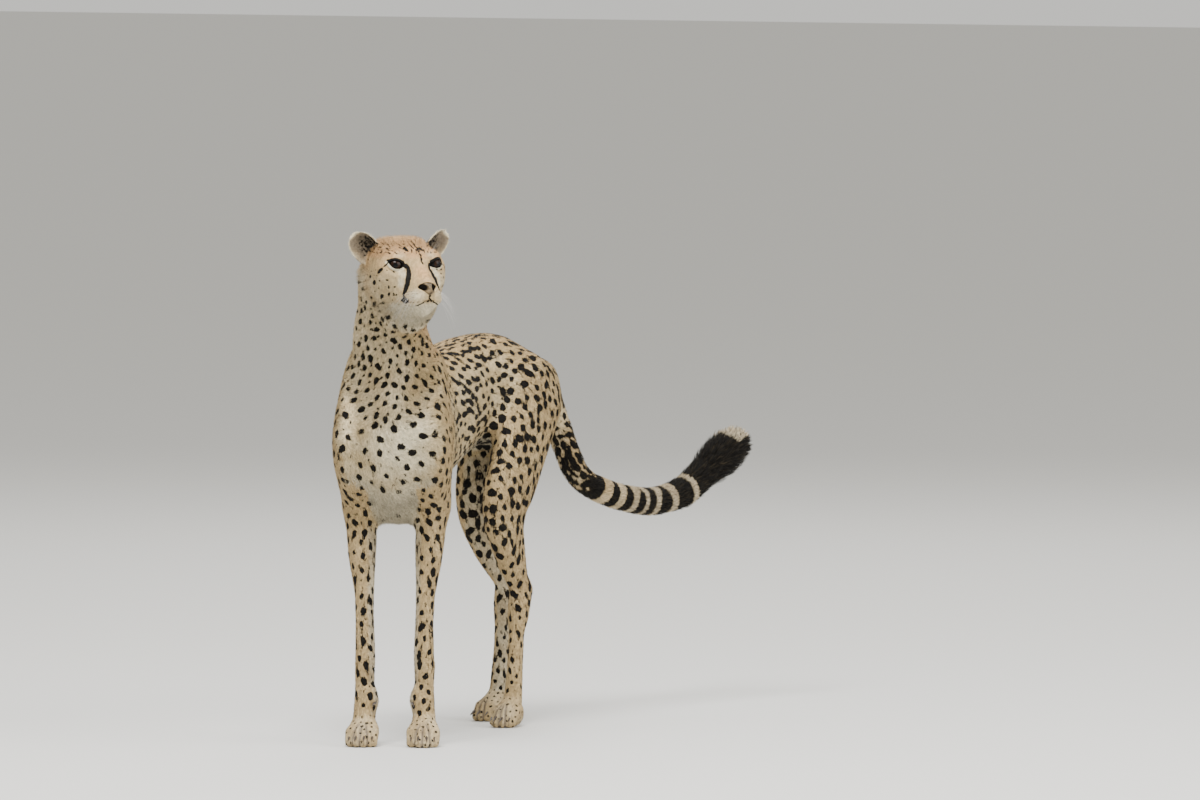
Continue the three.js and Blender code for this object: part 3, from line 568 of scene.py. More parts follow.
    def _tail_share(self) -> np.ndarray:
        """How far along the tail each point is: 0 at its root and off the tail, 1 at its tip."""
        tail = np.isin(self.kind_index, [i for i, n in enumerate(self.kind_names) if "tail" in n])
        edges = self.net.edges
        edges = edges[tail[edges].any(1)]
        length = np.linalg.norm(self.points[edges[:, 0]] - self.points[edges[:, 1]], axis=1)
        distance = np.where(tail, 10.0, 0.0)
        for _ in range(400):
            before = distance.copy()
            np.minimum.at(distance, edges[:, 0], before[edges[:, 1]] + length)
            np.minimum.at(distance, edges[:, 1], before[edges[:, 0]] + length)
            if np.array_equal(before, distance):
                break
        distance /= distance[tail].max()
        slices = np.linspace(0.015, 0.985, 40)
        middle = np.array([self.points[tail & (np.abs(distance - s) < 0.02)].mean(0) for s in slices])
        middle = np.concatenate([2 * middle[:1] - middle[1:2], middle, 2 * middle[-1:] - middle[-2:-1]])
        _, run, self.tail_length = nearest_on_path(self.points[tail], middle)
        share = np.zeros(len(self.points))
        share[tail] = np.clip(run / self.tail_length, 0.001, 1.0)
        return share

    def _lie_of_coat(self) -> np.ndarray:
        """The way the hair lies at each point, along the skin."""
        way = np.zeros_like(self.points)
        back = unit(node_centre("rump") - node_centre("chest"))
        down_neck = unit(node_centre("chest") + 0.12 * UP - node_centre("head"))
        for kind, drop in (("chest", 0.3), ("loin", 0.2), ("rump", 0.35)):
            way[self.is_kind(kind)] = unit(back - drop * UP)
        way[self.is_kind("neck")] = down_neck
        for kind, along in LIMB_LIES.items():
            way[self.is_kind(kind)] = unit(along[0] * back - along[1] * UP)
        for number in range(1, 6):
            here = node_centre(f"tail_{number}")
            other = node_centre(f"tail_{number + 1 if number < 5 else 4}")
            way[self.is_kind(f"tail_{number}")] = unit(other - here) * (1 if number < 5 else -1)
        head = self.is_kind("head")
        source = self.anatomy.from_head(np.array([[70.0, 0.0, -34.0]]))[0]
        way[head] = unit(self.points[head] - source)
        throat = head & (self.normals[:, 2] < -0.2)
        way[throat] = unit(way[throat] - 0.8 * self.anatomy.forward)
        for side in ("left", "right"):
            ear = self.is_node(f"ear_{side}")
            root = node_centre(f"ear_{side}") * 0.75 + self.anatomy.mid_eyes * 0.25
            root[2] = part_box(f"ear_{side}")[0].z
            way[ear] = unit(self.points[ear] - root)
        way = self.net.smoothed(way, 14)
        way -= (way * self.normals).sum(1, keepdims=True) * self.normals
        return unit(way)


def toe_grooves(points: np.ndarray) -> np.ndarray:
    """How deep each place lies in a groove between two toes, from 0 to 1."""
    deep = np.zeros(len(points))
    for kind in ("fore", "hind"):
        for side in ("left", "right"):
            centre = node_centre(f"{kind}_paw_{side}")
            claws = [node_centre(f"claw_{kind}_{side}_{number}") for number in range(1, 5)]
            close = np.linalg.norm(points - centre, axis=1) < 0.08
            for one, two in zip(claws[:-1], claws[1:]):
                middle = (one + two) / 2
                out = unit((middle - centre) * np.array([1.0, 1.0, 0.0]))
                gap = (points - middle) @ np.cross(out, UP) / MM
                ahead = (points - centre) @ out / MM
                groove = np.exp(-((gap / 2.5) ** 2)) * smooth_step(2, 20, ahead)
                groove *= smooth_step(50, 38, points[:, 2] / MM) * close
                deep = np.maximum(deep, groove)
    return deep


def refine_face(piece: bpy.types.Object, anatomy: Anatomy) -> None:
    """Halves the mesh of the face, where folds are finest.

    Args:
        piece: The skin.
        anatomy: Where the head is.
    """
    net = bmesh.new()
    net.from_mesh(piece.data)
    local = anatomy.in_head(mesh_points(piece.data))
    inside = (local[:, 0] > 34) & (local[:, 2] > -84) & (local[:, 2] < -22)
    for opening in eye_openings(anatomy):
        inside |= np.linalg.norm(local - opening.centre - 8 * opening.gaze, axis=1) < 27
    net.verts.ensure_lookup_table()
    edges = [e for e in net.edges if inside[e.verts[0].index] and inside[e.verts[1].index]]
    bmesh.ops.subdivide_edges(net, edges=edges, cuts=1, use_grid_fill=True)
    bmesh.ops.triangulate(net, faces=[f for f in net.faces if len(f.verts) > 3])
    net.to_mesh(piece.data)
    net.free()
    piece.data.update()


LIMB_LIES = {
    "upper_arm": (0.5, 1.0),
    "forearm": (0.15, 1.0),
    "fore_paw": (-0.9, 0.6),
    "thigh": (0.45, 1.0),
    "shin": (0.5, 1.0),
    "metatarsus": (0.05, 1.0),
    "hind_paw": (-0.9, 0.6),
}


def weld(points: np.ndarray, faces: np.ndarray) -> tuple[np.ndarray, np.ndarray]:
    """Joins vertices that lie at the same place.

    Args:
        points: Vertex places, one a row.
        faces: Vertex numbers, one triangle a row.

    Returns:
        The points left and the triangles that use them.
    """
    keys = np.round(points / 1e-6).astype(np.int64)
    _, first, again = np.unique(keys, axis=0, return_index=True, return_inverse=True)
    return points[first], again.reshape(-1)[faces]


def point_normals(points: np.ndarray, faces: np.ndarray) -> np.ndarray:
    """The normal at each point of a triangle mesh, weighted by the faces' areas."""
    one, two, three = (points[faces[:, corner]] for corner in range(3))
    across = np.cross(two - one, three - one)
    total = np.zeros_like(points)
    for corner in range(3):
        np.add.at(total, faces[:, corner], across)
    return unit(total)


# ---- The face ----
@dataclass
class EyeOpening:
    """The almond that the lids leave open over one eye, in millimetres in the head's axes.

    Attributes:
        side: The side of the head that the eye is on.
        half_spacing: How far the eye lies from the middle of the head.
        radius: The radius of the eyeball.
        outward: How far the eye looks to its side, in degrees.
        tilt: How far the outer corner lies above the inner one, in degrees.
        half_length: Half of the opening's length.
        upper: How high the upper lid arches over the line from corner to corner.
        lower: How deep the lower lid hangs below it.
        rise: How far that line lies above the eyeball's middle.
        inset: How far the opening lies nearer the nose than the eyeball's middle.
        lid_radius: How far from the eyeball's middle the lids lie.
    """

    side: Side
    half_spacing: float
    radius: float
    outward: float = 22.0
    tilt: float = 14.0
    half_length: float = 15.4
    upper: float = 6.8
    lower: float = 9.0
    rise: float = 3.3
    inset: float = 1.6
    lid_radius: float = 16.6

    def __post_init__(self) -> None:
        """Works out the opening's own axes."""
        turn, lean = math.radians(self.outward), math.radians(self.tilt)
        self.centre = np.array([0.0, self.side * self.half_spacing, 0.0])
        self.gaze = np.array([math.cos(turn), self.side * math.sin(turn), 0.0])
        level = np.array([-math.sin(turn), self.side * math.cos(turn), 0.0])
        self.outer = level * math.cos(lean) + UP * math.sin(lean)
        self.above = UP * math.cos(lean) - level * math.sin(lean)

    def margin(self, local: np.ndarray) -> tuple[np.ndarray, np.ndarray]:
        """How far outside the opening's edge each place of the face is, and below 0 inside it.

        Args:
            local: Places in the head's axes.

        Returns:
            The distances from the edge, and how far above the line from corner to corner each place is.
        """
        away = local - self.centre
        distance = np.linalg.norm(away, axis=1)
        drawn = away * (self.lid_radius / np.maximum(distance, 1e-6))[:, None]
        across, above = drawn @ self.outer + self.inset, drawn @ self.above - self.rise
        tall = np.where(above > 0, self.upper, self.lower)
        bend = (self.half_length**2 + tall * tall) / (2 * tall)
        margin = np.hypot(across, np.abs(above) + bend - tall) - bend
        beyond = np.hypot(np.maximum(margin, 0), np.maximum(distance - self.lid_radius, 0))
        margin = np.where(margin < 0, margin + np.maximum(distance - self.lid_radius - 4, 0), beyond)
        return np.where(away @ self.gaze > -2, margin, 50.0), above

    def edge(self, count: int) -> np.ndarray:
        """The opening's edge as places across and above, round from the inner corner."""
        arcs = []
        for tall, way in ((self.upper, 1), (self.lower, -1)):
            bend = (self.half_length**2 + tall * tall) / (2 * tall)
            sweep = math.asin(self.half_length / bend)
            angles = np.linspace(-sweep, sweep, count)[:-1]
            arcs.append(way * np.stack([bend * np.sin(angles), bend * np.cos(angles) - bend + tall], 1))
        return np.concatenate(arcs)


def eye_openings(anatomy: Anatomy) -> list[EyeOpening]:
    """The two eye openings of the head."""
    spacing, radius = anatomy.eye_half_spacing / MM, anatomy.eye_radius / MM
    return [EyeOpening(side, spacing, radius) for side in Side]


def nearest_on_path(points: np.ndarray, path: np.ndarray) -> tuple[np.ndarray, np.ndarray, float]:
    """Finds the place nearest to each point on a line of straight pieces.

    Args:
        points: The points.
        path: The ends of the straight pieces.

    Returns:
        How far off the line each point is, how far along it its nearest place is, and its length.
    """
    nearest = np.full(len(points), np.inf)
    run, start_run = np.zeros(len(points)), 0.0
    for start, end in zip(path[:-1], path[1:]):
        along = end - start
        share = np.clip(((points - start) @ along) / (along @ along), 0, 1)
        gap = np.linalg.norm(points - start - share[:, None] * along, axis=1)
        length = float(np.linalg.norm(along))
        run = np.where(gap < nearest, start_run + share * length, run)
        nearest = np.minimum(nearest, gap)
        start_run += length
    return nearest, run, start_run


def path_distance(points: np.ndarray, path: np.ndarray) -> np.ndarray:
    """The distance from each point to the nearest place on a line of straight pieces."""
    return nearest_on_path(points, path)[0]


def mirrored(path: list[tuple], side: Side) -> np.ndarray:
    """A path of the head, given on its left, for one side."""
    return np.array(path, float) * np.array([1.0, side, 1.0])


LIP_LINE = [(68, 0, -66), (67, 9, -69), (62, 18, -73), (52, 25, -78), (41, 30, -80), (30, 35, -79)]
PHILTRUM = [(70, 0, -57), (69, 0, -66)]
SWELLINGS = [
    (1.5, (60, 14, -60), (14, 10, 7)),
    (1.0, (60, 12, -77), (12, 12, 5)),
    (1.8, (8, 38, 17), (14, 17, 6)),
    (1.2, (14, 40, -18), (14, 15, 7)),
    (-4.0, (48, 20, -90), (18, 18, 13)),
    (-6.0, (25, 25, -106), (24, 22, 18)),
]
TEAR_LINE = [
    (10, 27.0, -1),
    (18, 22.5, -4),
    (25, 23.5, -13),
    (30, 25, -22),
    (33.5, 29.5, -34),
    (36, 35, -47),
    (34, 38.5, -57),
]


@dataclass
class Face:
    """The folds of the face: lids, brows, muzzle and lips."""

    anatomy: Anatomy
    lid_reach: float = 13.0

    def sculpt(self, piece: bpy.types.Object) -> None:
        """Moves the skin's points into the folds of the face.

        Args:
            piece: The skin.
        """
        points = mesh_points(piece.data)
        normals = mesh_normals(piece.data)
        local = self.anatomy.in_head(points)
        near = np.nonzero((np.abs(local) < np.array([95, 95, 150])).all(1))[0]
        axes = np.stack([self.anatomy.forward, self.anatomy.left, UP])
        shaped = local[near] + self._swellings(local[near]) * (normals[near] @ axes.T)
        for opening in eye_openings(self.anatomy):
            shaped = self._set_lids(shaped, opening)
        shaped = self._seat_nose(shaped)
        points[near] = self.anatomy.from_head(shaped)
        set_points(piece.data, points)

    def _swellings(self, local: np.ndarray) -> np.ndarray:
        """How far each place of the head stands out or in, as a column of millimetres."""
        rise = np.zeros(len(local))
        for side in Side:
            lips = path_distance(local, mirrored(LIP_LINE, side))
            rise -= 2.6 * np.exp(-((lips / 1.7) ** 2))
            tear = path_distance(local, mirrored(TEAR_LINE, side))
            rise -= 1.0 * np.exp(-((tear / 6.0) ** 2))
            for height, (forward, left, up), reach in SWELLINGS:
                rise += height * bump_at(local, (forward, side * left, up), reach)
        rise -= 2.2 * np.exp(-((path_distance(local, np.array(PHILTRUM, float)) / 1.5) ** 2))
        return rise[:, None]

    def _seat_nose(self, local: np.ndarray) -> np.ndarray:
        """Draws the skin back beneath the nose leather."""
        inside = Nose.nearness(local - nose_middle(self.anatomy), 20.5)
        moved = local.copy()
        moved[:, 0] -= 9.0 * smooth_step(1.12, 0.85, inside)
        return moved

    def _set_lids(self, local: np.ndarray, opening: EyeOpening) -> np.ndarray:
        """Lays the lids over one eyeball and opens them.

        Args:
            local: Places in the head's axes.
            opening: The eye's opening.

        Returns:
            The places with the lids formed.
        """
        margin, above = opening.margin(local)
        away = local - opening.centre
        distance = np.linalg.norm(away, axis=1)
        lid = opening.lid_radius + 0.3 + 0.9 * np.exp(-(((margin - 3.5) / 2.4) ** 2))
        lid = np.where(margin < 0.2, opening.radius - 4.5, lid)
        hold = np.where(margin < 0.2, 1.0, 1.0 - smooth_step(4.0, self.lid_reach, margin))
        crease = 1.3 * np.exp(-(((margin - 6.0) / 1.3) ** 2)) * (above > 0)
        wanted = lid * hold + distance * (1 - hold) - crease
        moved = opening.centre + away * (wanted / np.maximum(distance, 1e-6))[:, None]
        facing = margin < self.lid_reach
        return np.where(facing[:, None], moved, local)


@dataclass
class Eyes:
    """The eyeballs, their glossy surface and dark rims."""

    anatomy: Anatomy
    rows: int = 40
    turns: int = 56

    def build(self) -> list[bpy.types.Object]:
        """Makes both eyes.

        Returns:
            An eyeball and a lid rim for each side.
        """
        pieces = []
        for opening in eye_openings(self.anatomy):
            name = opening.side.name.lower()
            ball = self._ball(f"eyeball_{name}", opening)
            ball.data.materials.append(EYE_FINISH.material())
            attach(ball, "root")
            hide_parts(f"eye_{name}")
            rim = self._rim(f"lid_rim_{name}", opening)
            rim.data.materials.append(LID_FINISH.material())
            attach(rim, "root")
            pieces += [ball, rim]
        return pieces

    def _ball(self, name: str, opening: EyeOpening) -> bpy.types.Object:
        """A ball with a slight bulge over the iris, its pole along the gaze."""
        polar = np.linspace(0, math.pi, self.rows + 1)
        around = np.linspace(0, 2 * math.pi, self.turns, endpoint=False)
        radius = opening.radius - 0.25 + 0.7 * np.exp(-((polar / 0.55) ** 2))
        side = np.cross(UP, opening.gaze)
        rings = []
        for angle, reach in zip(polar[1:-1], radius[1:-1]):
            flat = np.cos(around)[:, None] * side + np.sin(around)[:, None] * UP
            rings.append(opening.centre + reach * (math.cos(angle) * opening.gaze + math.sin(angle) * flat))
        front = opening.centre + radius[0] * opening.gaze
        back = opening.centre - radius[-1] * opening.gaze
        local = np.concatenate([front[None], *rings, back[None]])
        faces = sphere_faces(len(rings), self.turns)
        piece = add_mesh(name, self.anatomy.from_head(local), faces)
        away = unit(local - opening.centre)
        store(piece.data, "off_axis", np.arccos(np.clip(away @ opening.gaze, -1, 1)))
        store(piece.data, "spin", np.arctan2(away @ UP, away @ side))
        return piece

    def _rim(self, name: str, opening: EyeOpening) -> bpy.types.Object:
        """The dark margin of the lids, a soft tube round the opening."""
        flat = opening.edge(24)
        across, above = flat[:, 0] - opening.inset, flat[:, 1] + opening.rise
        front = np.sqrt(np.maximum(opening.lid_radius**2 - across**2 - above**2, 4.0))
        middle = opening.centre + (
            across[:, None] * opening.outer + above[:, None] * opening.above + front[:, None] * opening.gaze
        )
        thick = 0.75 + 0.45 * (flat[:, 1] > 0) * (1 - (flat[:, 0] / opening.half_length) ** 2)
        return tube(name, self.anatomy.from_head(middle), thick * MM, 10, closed=True)


def sphere_faces(rings: int, turns: int) -> np.ndarray:
    """The triangles of a ball with a front pole, some rings and a back pole.

    Args:
        rings: How many rings lie between the poles.
        turns: How many points each ring has.

    Returns:
        Vertex numbers, one triangle a row.
    """
    here = np.arange(turns)
    onward = (here + 1) % turns
    faces = [np.stack([np.zeros(turns, int), 1 + here, 1 + onward], 1)]
    for ring in range(rings - 1):
        low, high = 1 + ring * turns, 1 + (ring + 1) * turns
        faces.append(np.stack([low + here, high + here, high + onward], 1))
        faces.append(np.stack([low + here, high + onward, low + onward], 1))
    last = 1 + (rings - 1) * turns
    faces.append(np.stack([last + here, np.full(turns, 1 + rings * turns), last + onward], 1))
    return np.concatenate(faces)


def tube(
    name: str, middle: np.ndarray, radius: np.ndarray, sides: int, closed: bool = False
) -> bpy.types.Object:
    """A round tube along a line of points.

    Args:
        name: The object's name.
        middle: The points that it follows, in metres.
        radius: Its radius at each of them.
        sides: How many sides it has.
        closed: Whether it joins up with its own start.

    Returns:
        The new object.
    """
    if closed:
        along = unit(np.roll(middle, -1, 0) - np.roll(middle, 1, 0))
    else:
        along = unit(np.gradient(middle, axis=0))
    spine = unit(middle.mean(0) - middle + 1e-6)
    one = unit(np.cross(along, spine if closed else np.tile([0.31, 0.2, 0.93], (len(middle), 1))))
    two = np.cross(along, one)
    turn = np.linspace(0, 2 * math.pi, sides, endpoint=False)
    ring = np.cos(turn)[None, :, None] * one[:, None] + np.sin(turn)[None, :, None] * two[:, None]
    points = (middle[:, None] + ring * np.asarray(radius).reshape(-1, 1, 1)).reshape(-1, 3)
    rows = len(middle) if closed else len(middle) - 1
    here = np.arange(sides)
    onward = (here + 1) % sides
    faces = []
    for row in range(rows):
        low, high = row * sides, ((row + 1) % len(middle)) * sides
        faces.append(np.stack([low + here, low + onward, high + onward], 1))
        faces.append(np.stack([low + here, high + onward, high + here], 1))
    if not closed:
        ends = np.stack([middle[0], middle[-1]])
        start, last = len(points), (len(middle) - 1) * sides
        points = np.concatenate([points, ends])
        faces.append(np.stack([np.full(sides, start), onward, here], 1))
        faces.append(np.stack([np.full(sides, start + 1), last + here, last + onward], 1))
    return add_mesh(name, points, np.concatenate(faces))


@dataclass
class Nose:
    """The nose leather with its nostrils, in millimetres in the head's axes."""

    anatomy: Anatomy
    rows: int = 60
    turns: int = 96

    def build(self) -> bpy.types.Object:
        """Makes the nose in the place of its solid.

        Returns:
            The nose.
        """
        polar = np.linspace(0, math.pi, self.rows + 1)[1:-1]
        around = np.linspace(0, 2 * math.pi, self.turns, endpoint=False)
        middle = nose_middle(self.anatomy)
        rings = []
        for angle in polar:
            reach = math.sin(angle) ** 0.85
            ahead = np.full(self.turns, math.cos(angle))
            rings.append(np.stack([ahead, reach * np.cos(around), reach * np.sin(around)], 1))
        ball = np.concatenate([[[1.0, 0, 0]], *rings, [[-1.0, 0, 0]]])
        local = middle + self._shape(ball)
        piece = add_mesh("nose_leather", self.anatomy.from_head(local), sphere_faces(len(rings), self.turns))
        store(piece.data, "hollow", self._hollow(local - middle))
        piece.data.materials.append(NOSE_FINISH.material())
        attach(piece, "root")
        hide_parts("nose")
        return piece

    def _hollow(self, shaped: np.ndarray) -> np.ndarray:
        """How deep in a nostril each place of the nose is, from 0 to 1."""
        deep = np.zeros(len(shaped))
        for wing in (1, -1):
            hole = bump_at(shaped[:, 1:], (wing * 10.5, 3.6), (8.2, 7.4))
            slit = bump_at(shaped[:, 1:], (wing * 16.5, 3.0), (5.6, 4.6))
            deep = np.maximum(deep, smooth_step(0.35, 0.62, np.maximum(hole, slit)))
        return deep * (shaped[:, 0] > -6)

    @staticmethod
    def narrowing(up: np.ndarray) -> np.ndarray:
        """The share of its full width that the nose has at each height, from -1 below to 1 above."""
        return 0.36 + 0.64 * smooth_step(-1.0, 0.45, up)

    @staticmethod
    def nearness(away: np.ndarray, half_width: float) -> np.ndarray:
        """How near places lie to the leather.

        Args:
            away: Places from the middle of the nose, in millimetres in the head's axes.
            half_width: The half width that counts as its edge.

        Returns:
            Below 1 inside the edge and above 1 outside it.
        """
        drawn = away.copy()
        drawn[:, 1] /= Nose.narrowing(drawn[:, 2] / 12.6)
        return ((drawn / np.array([17.0, half_width, 13.0])) ** 2).sum(1)

    def _shape(self, ball: np.ndarray) -> np.ndarray:
        """Turns a ball of radius 1 into the nose: broad above, narrow below, with two nostrils."""
        front, side, up = ball.T
        width = 20.0 * self.narrowing(up)
        shaped = np.stack([14.5 * front, width * side, 13.4 * up - 0.6], 1)
        shaped[:, 0] += 1.5 * (1 - side**2) * (front > 0) - 3.5 * smooth_step(0.1, 1.0, up)
        for wing in (1, -1):
            shaped[:, 0] += 1.6 * bump_at(shaped[:, 1:], (wing * 10.0, 7.0), (6.5, 3.0)) * (front > 0)
        shaped[:, 0] -= 7.5 * self._hollow(shaped) * (front > 0)
        shaped[:, 0] -= 1.3 * np.exp(-((shaped[:, 1] / 1.1) ** 2)) * (front > 0)
        return shaped


@dataclass
class Whiskers:
    """The whiskers of the muzzle and brows, as fine tapered tubes."""

    anatomy: Anatomy
    skin: Skin
    rows: int = 4
    per_row: int = 4

    def build(self) -> bpy.types.Object:
        """Makes all whiskers as one piece.

        Returns:
            The whiskers.
        """
        chance = np.random.default_rng(SEED + 5)
        tree = point_tree(self.skin.points)
        strands = []
        for side in Side:
            for row in range(self.rows):
                for place in range(self.per_row):
                    spot = (58 - 5.2 * place, side * (20 + 2.6 * place), -52 - 4.0 * row - 0.6 * place)
                    way = (0.25 - 0.16 * place, side * 0.9, -0.4 - 0.12 * row)
                    strands.append((spot, way, 36 + 6 * place, 22 + 3 * row))
            for place in range(3):
                strands.append(((4 - 3 * place, side * (30 + 3 * place), 20), (0.5, side * 0.5, 0.8), 30, 8))
        tubes = []
        for spot, way, length, droop in strands:
            length *= chance.uniform(0.8, 1.15)
            root = self.skin.points[tree.find(self.anatomy.from_head(np.array(spot))[0])[1]]
            toward = self.anatomy.way(*way) + chance.normal(0, 0.06, 3)
            along = np.linspace(0, 1, 7)[:, None]
            line = root + along * length * MM * toward - along**2 * droop * MM * UP
            tubes.append(tube("whisker", line, np.linspace(0.14, 0.03, 7) * MM, 5))
        whole = join(tubes, "whiskers")
        whole.data.materials.append(WHISKER_FINISH.material())
        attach(whole, "root")
        return whole


def join(pieces: list[bpy.types.Object], name: str) -> bpy.types.Object:
    """Joins triangle meshes into one object and removes the originals.

    Args:
        pieces: The objects to join.
        name: The name of the whole.

    Returns:
        The joined object.
    """
    points, faces, count = [], [], 0
    for piece in pieces:
        part = mesh_points(piece.data)
        points.append(part)
        faces.append(mesh_triangles(piece.data) + count)
        count += len(part)
        bpy.data.objects.remove(piece)
    return add_mesh(name, np.concatenate(points), np.concatenate(faces))


# ---- Markings ----
@dataclass(frozen=True)
class SpotZone:
    """The black spots of one kind of part, in millimetres.

    Attributes:
        spacing: The least distance between two spots.
        radius: The middle radius of a spot.
        stretch: How much longer than wide a spot is.
        fill: The radius of the small spots between them, or 0 for none.
    """

    spacing: float
    radius: float
    stretch: float = 1.35
    fill: float = 0.0


PAW_SPOTS = SpotZone(11.0, 2.3, 1.2)
SPOTS = {
    "neck": SpotZone(18.0, 5.2, 1.4, 2.5),
    "chest": SpotZone(19.5, 6.6, 1.3, 2.5),
    "loin": SpotZone(17.0, 6.3, 1.75),
    "rump": SpotZone(18.0, 7.2, 1.2, 2.6),
    "upper_arm": SpotZone(19.5, 6.2, 1.3, 2.5),
    "forearm": SpotZone(18.5, 5.8, 1.4, 2.3),
    "fore_paw": PAW_SPOTS,
    "thigh": SpotZone(18.5, 7.7, 1.15, 2.6),
    "shin": SpotZone(19.5, 6.9, 1.3, 2.5),
    "metatarsus": SpotZone(16.0, 4.6, 1.5, 1.8),
    "hind_paw": PAW_SPOTS,
    "tail_1": SpotZone(15.0, 6.0, 1.5, 2.6),
    "tail_2": SpotZone(14.0, 6.2, 1.5, 2.6),
}


@dataclass
class Markings:
    """Every black mark on the body, each as a short rounded stroke.

    Attributes:
        skin: The skin that carries them.
        reach: How far from a stroke's edge its distance is worked out, in millimetres.
    """

    skin: Skin
    reach: float = 6.0

    def __post_init__(self) -> None:
        """Lays out the spots of the body and the marks of the face."""
        self.strokes: list[tuple[np.ndarray, np.ndarray, float, float, np.ndarray, float]] = []
        self.chance = np.random.default_rng(SEED)
        self._body_spots()
        self._face_marks()
        LOG.info("markings: %d strokes", len(self.strokes))

    def _stroke(
        self,
        start: np.ndarray,
        end: np.ndarray,
        wide: float,
        narrow: float,
        normal: np.ndarray,
        flat: float = 0.8,
    ) -> None:
        """Adds a stroke from one place to another.

        Args:
            start: Where it starts.
            end: Where it ends.
            wide: Its radius at the start, in millimetres.
            narrow: Its radius at the end.
            normal: The skin's normal there.
            flat: The share of the height off the skin that its distance leaves out.
        """
        self.strokes.append((start, end, wide * MM, narrow * MM, normal, flat))

    def _body_spots(self) -> None:
        """Scatters spots over the body, no two too close."""
        skin = self.skin
        order = self.chance.permutation(len(skin.points))
        taken = Scatter(cell=0.024)
        for small in (False, True):
            for number in order:
                kind = skin.kind_names[skin.kind_index[number]]
                zone = SPOTS.get(kind)
                if zone is None or (small and zone.fill == 0):
                    continue
                point, normal = skin.points[number], skin.normals[number]
                spacing, radius = zone.spacing, zone.radius
                belly = smooth_step(-0.55, -0.85, normal[2]) if kind in ("chest", "loin") else 0.0
                front = smooth_step(0.5, 0.9, normal[0]) if kind == "chest" else 0.0
                back = smooth_step(0.75, 0.97, normal[2]) if kind in ("chest", "loin", "rump") else 0.0
                spacing *= 1 + 0.9 * belly + 0.3 * front - 0.42 * back
                radius *= 1 - 0.48 * back
                if small:
                    radius, spacing = zone.fill, 0.7 * spacing
                spacing *= self.chance.uniform(0.92, 1.18)
                if not taken.is_free(point, spacing * MM):
                    continue
                taken.add(point)
                radius *= self.chance.uniform(0.78, 1.18) * (1 - 0.25 * belly)
                stretch = (zone.stretch - 1 + 0.45 * back) * radius * self.chance.uniform(0.5, 1.5)
                upright = smooth_step(0.9, 0.5, abs(normal[2])) if kind == "rump" else 0.0
                way = unit(np.cross(normal, skin.lie[number]) * upright + skin.lie[number] * (1 - upright))
                half = way * stretch * MM
                shift = np.cross(normal, way) * self.chance.normal(0, 0.25) * radius * MM
                self._stroke(point - half - shift, point + half + shift, radius, radius * 0.85, normal)

    def _face_marks(self) -> None:
        """Draws the tear lines, the eye lines, the whisker rows and the small spots of the head."""
        anatomy = self.skin.anatomy
        tree = point_tree(self.skin.points)

        def line(path: np.ndarray, radii: list[float]) -> None:
            """Lays a line of strokes on the skin along a path in the head's axes."""
            path, radii = finer(path, radii)
            found = [tree.find(place)[1] for place in anatomy.from_head(path)]
            for a, b, wide, narrow in zip(found[:-1], found[1:], radii[:-1], radii[1:]):
                start, end = self.skin.points[a], self.skin.points[b]
                self._stroke(start, end, wide, narrow, self.skin.normals[a], 0.0)

        for side in Side:
            for path, radii in FACE_LINES:
                line(mirrored(path, side), radii)
            for forward, left, up in ((-17, 46, 31), (-21, 49, 38), (-24, 57, 26), (-31, 62, 19)):
                line(mirrored([(forward, left, up), (forward - 4, left + 2, up + 4)], side), [1.7, 1.2])
            for bar in range(3):
                start = (38 + 3.2 * bar, 35.5 - 1.6 * bar, -61 - 2.4 * bar)
                end = (29 + 4.2 * bar, 40.5 - 2.0 * bar, -67 - 2.6 * bar)
                line(mirrored([start, end], side), [2.4, 2.2])
            for row in range(4):
                for place in range(6):
                    spot = (57 - 4.2 * place, 17 + 3.1 * place, -52 - 4.3 * row - 0.5 * place)
                    line(mirrored([spot, np.array(spot) - (2.4, -1.4, 0.3)], side), [0.55, 0.4])
            for forward, left, up, radius in CHEEK_SPOTS:
                spot = mirrored([(forward, left, up), (forward - 2, left, up - 2.5)], side)
                line(spot, [1.35 * radius, 1.15 * radius])
        line(np.array(PHILTRUM, float), [1.7, 1.8])
        for dash in range(9):
            back = 26.0 - 7.0 * dash
            line(np.array([(back, 7.5, 5 + 5 * dash), (back - 4.0, 7.0, 9 + 5 * dash)], float), [2.1, 1.5])
        self._head_spots()

    def _head_spots(self) -> None:
        """Scatters the finest spots over the crown, brow and cheeks."""
        skin = self.skin
        local = skin.anatomy.in_head(skin.points)
        head = np.nonzero(skin.is_kind("head"))[0]
        taken = Scatter(cell=0.012)
        for number in self.chance.permutation(head):
            forward, left, up = local[number]
            crown = up > 22 and forward > -75
            cheek = forward < 20 and up < -8 and abs(left) > 38
            nape = forward < -60
            if not (crown or cheek or nape):
                continue
            spacing = (6.6 if crown else 11.0) * self.chance.uniform(0.9, 1.3)
            point = skin.points[number]
            if not taken.is_free(point, spacing * MM):
                continue
            taken.add(point)
            radius = (1.45 if crown else 1.6 if cheek else 2.4) * self.chance.uniform(0.6, 1.25)
            half = skin.lie[number] * radius * MM * (1.8 if crown else 0.7)
            self._stroke(point - half, point + half, radius, radius * 0.8, skin.normals[number])

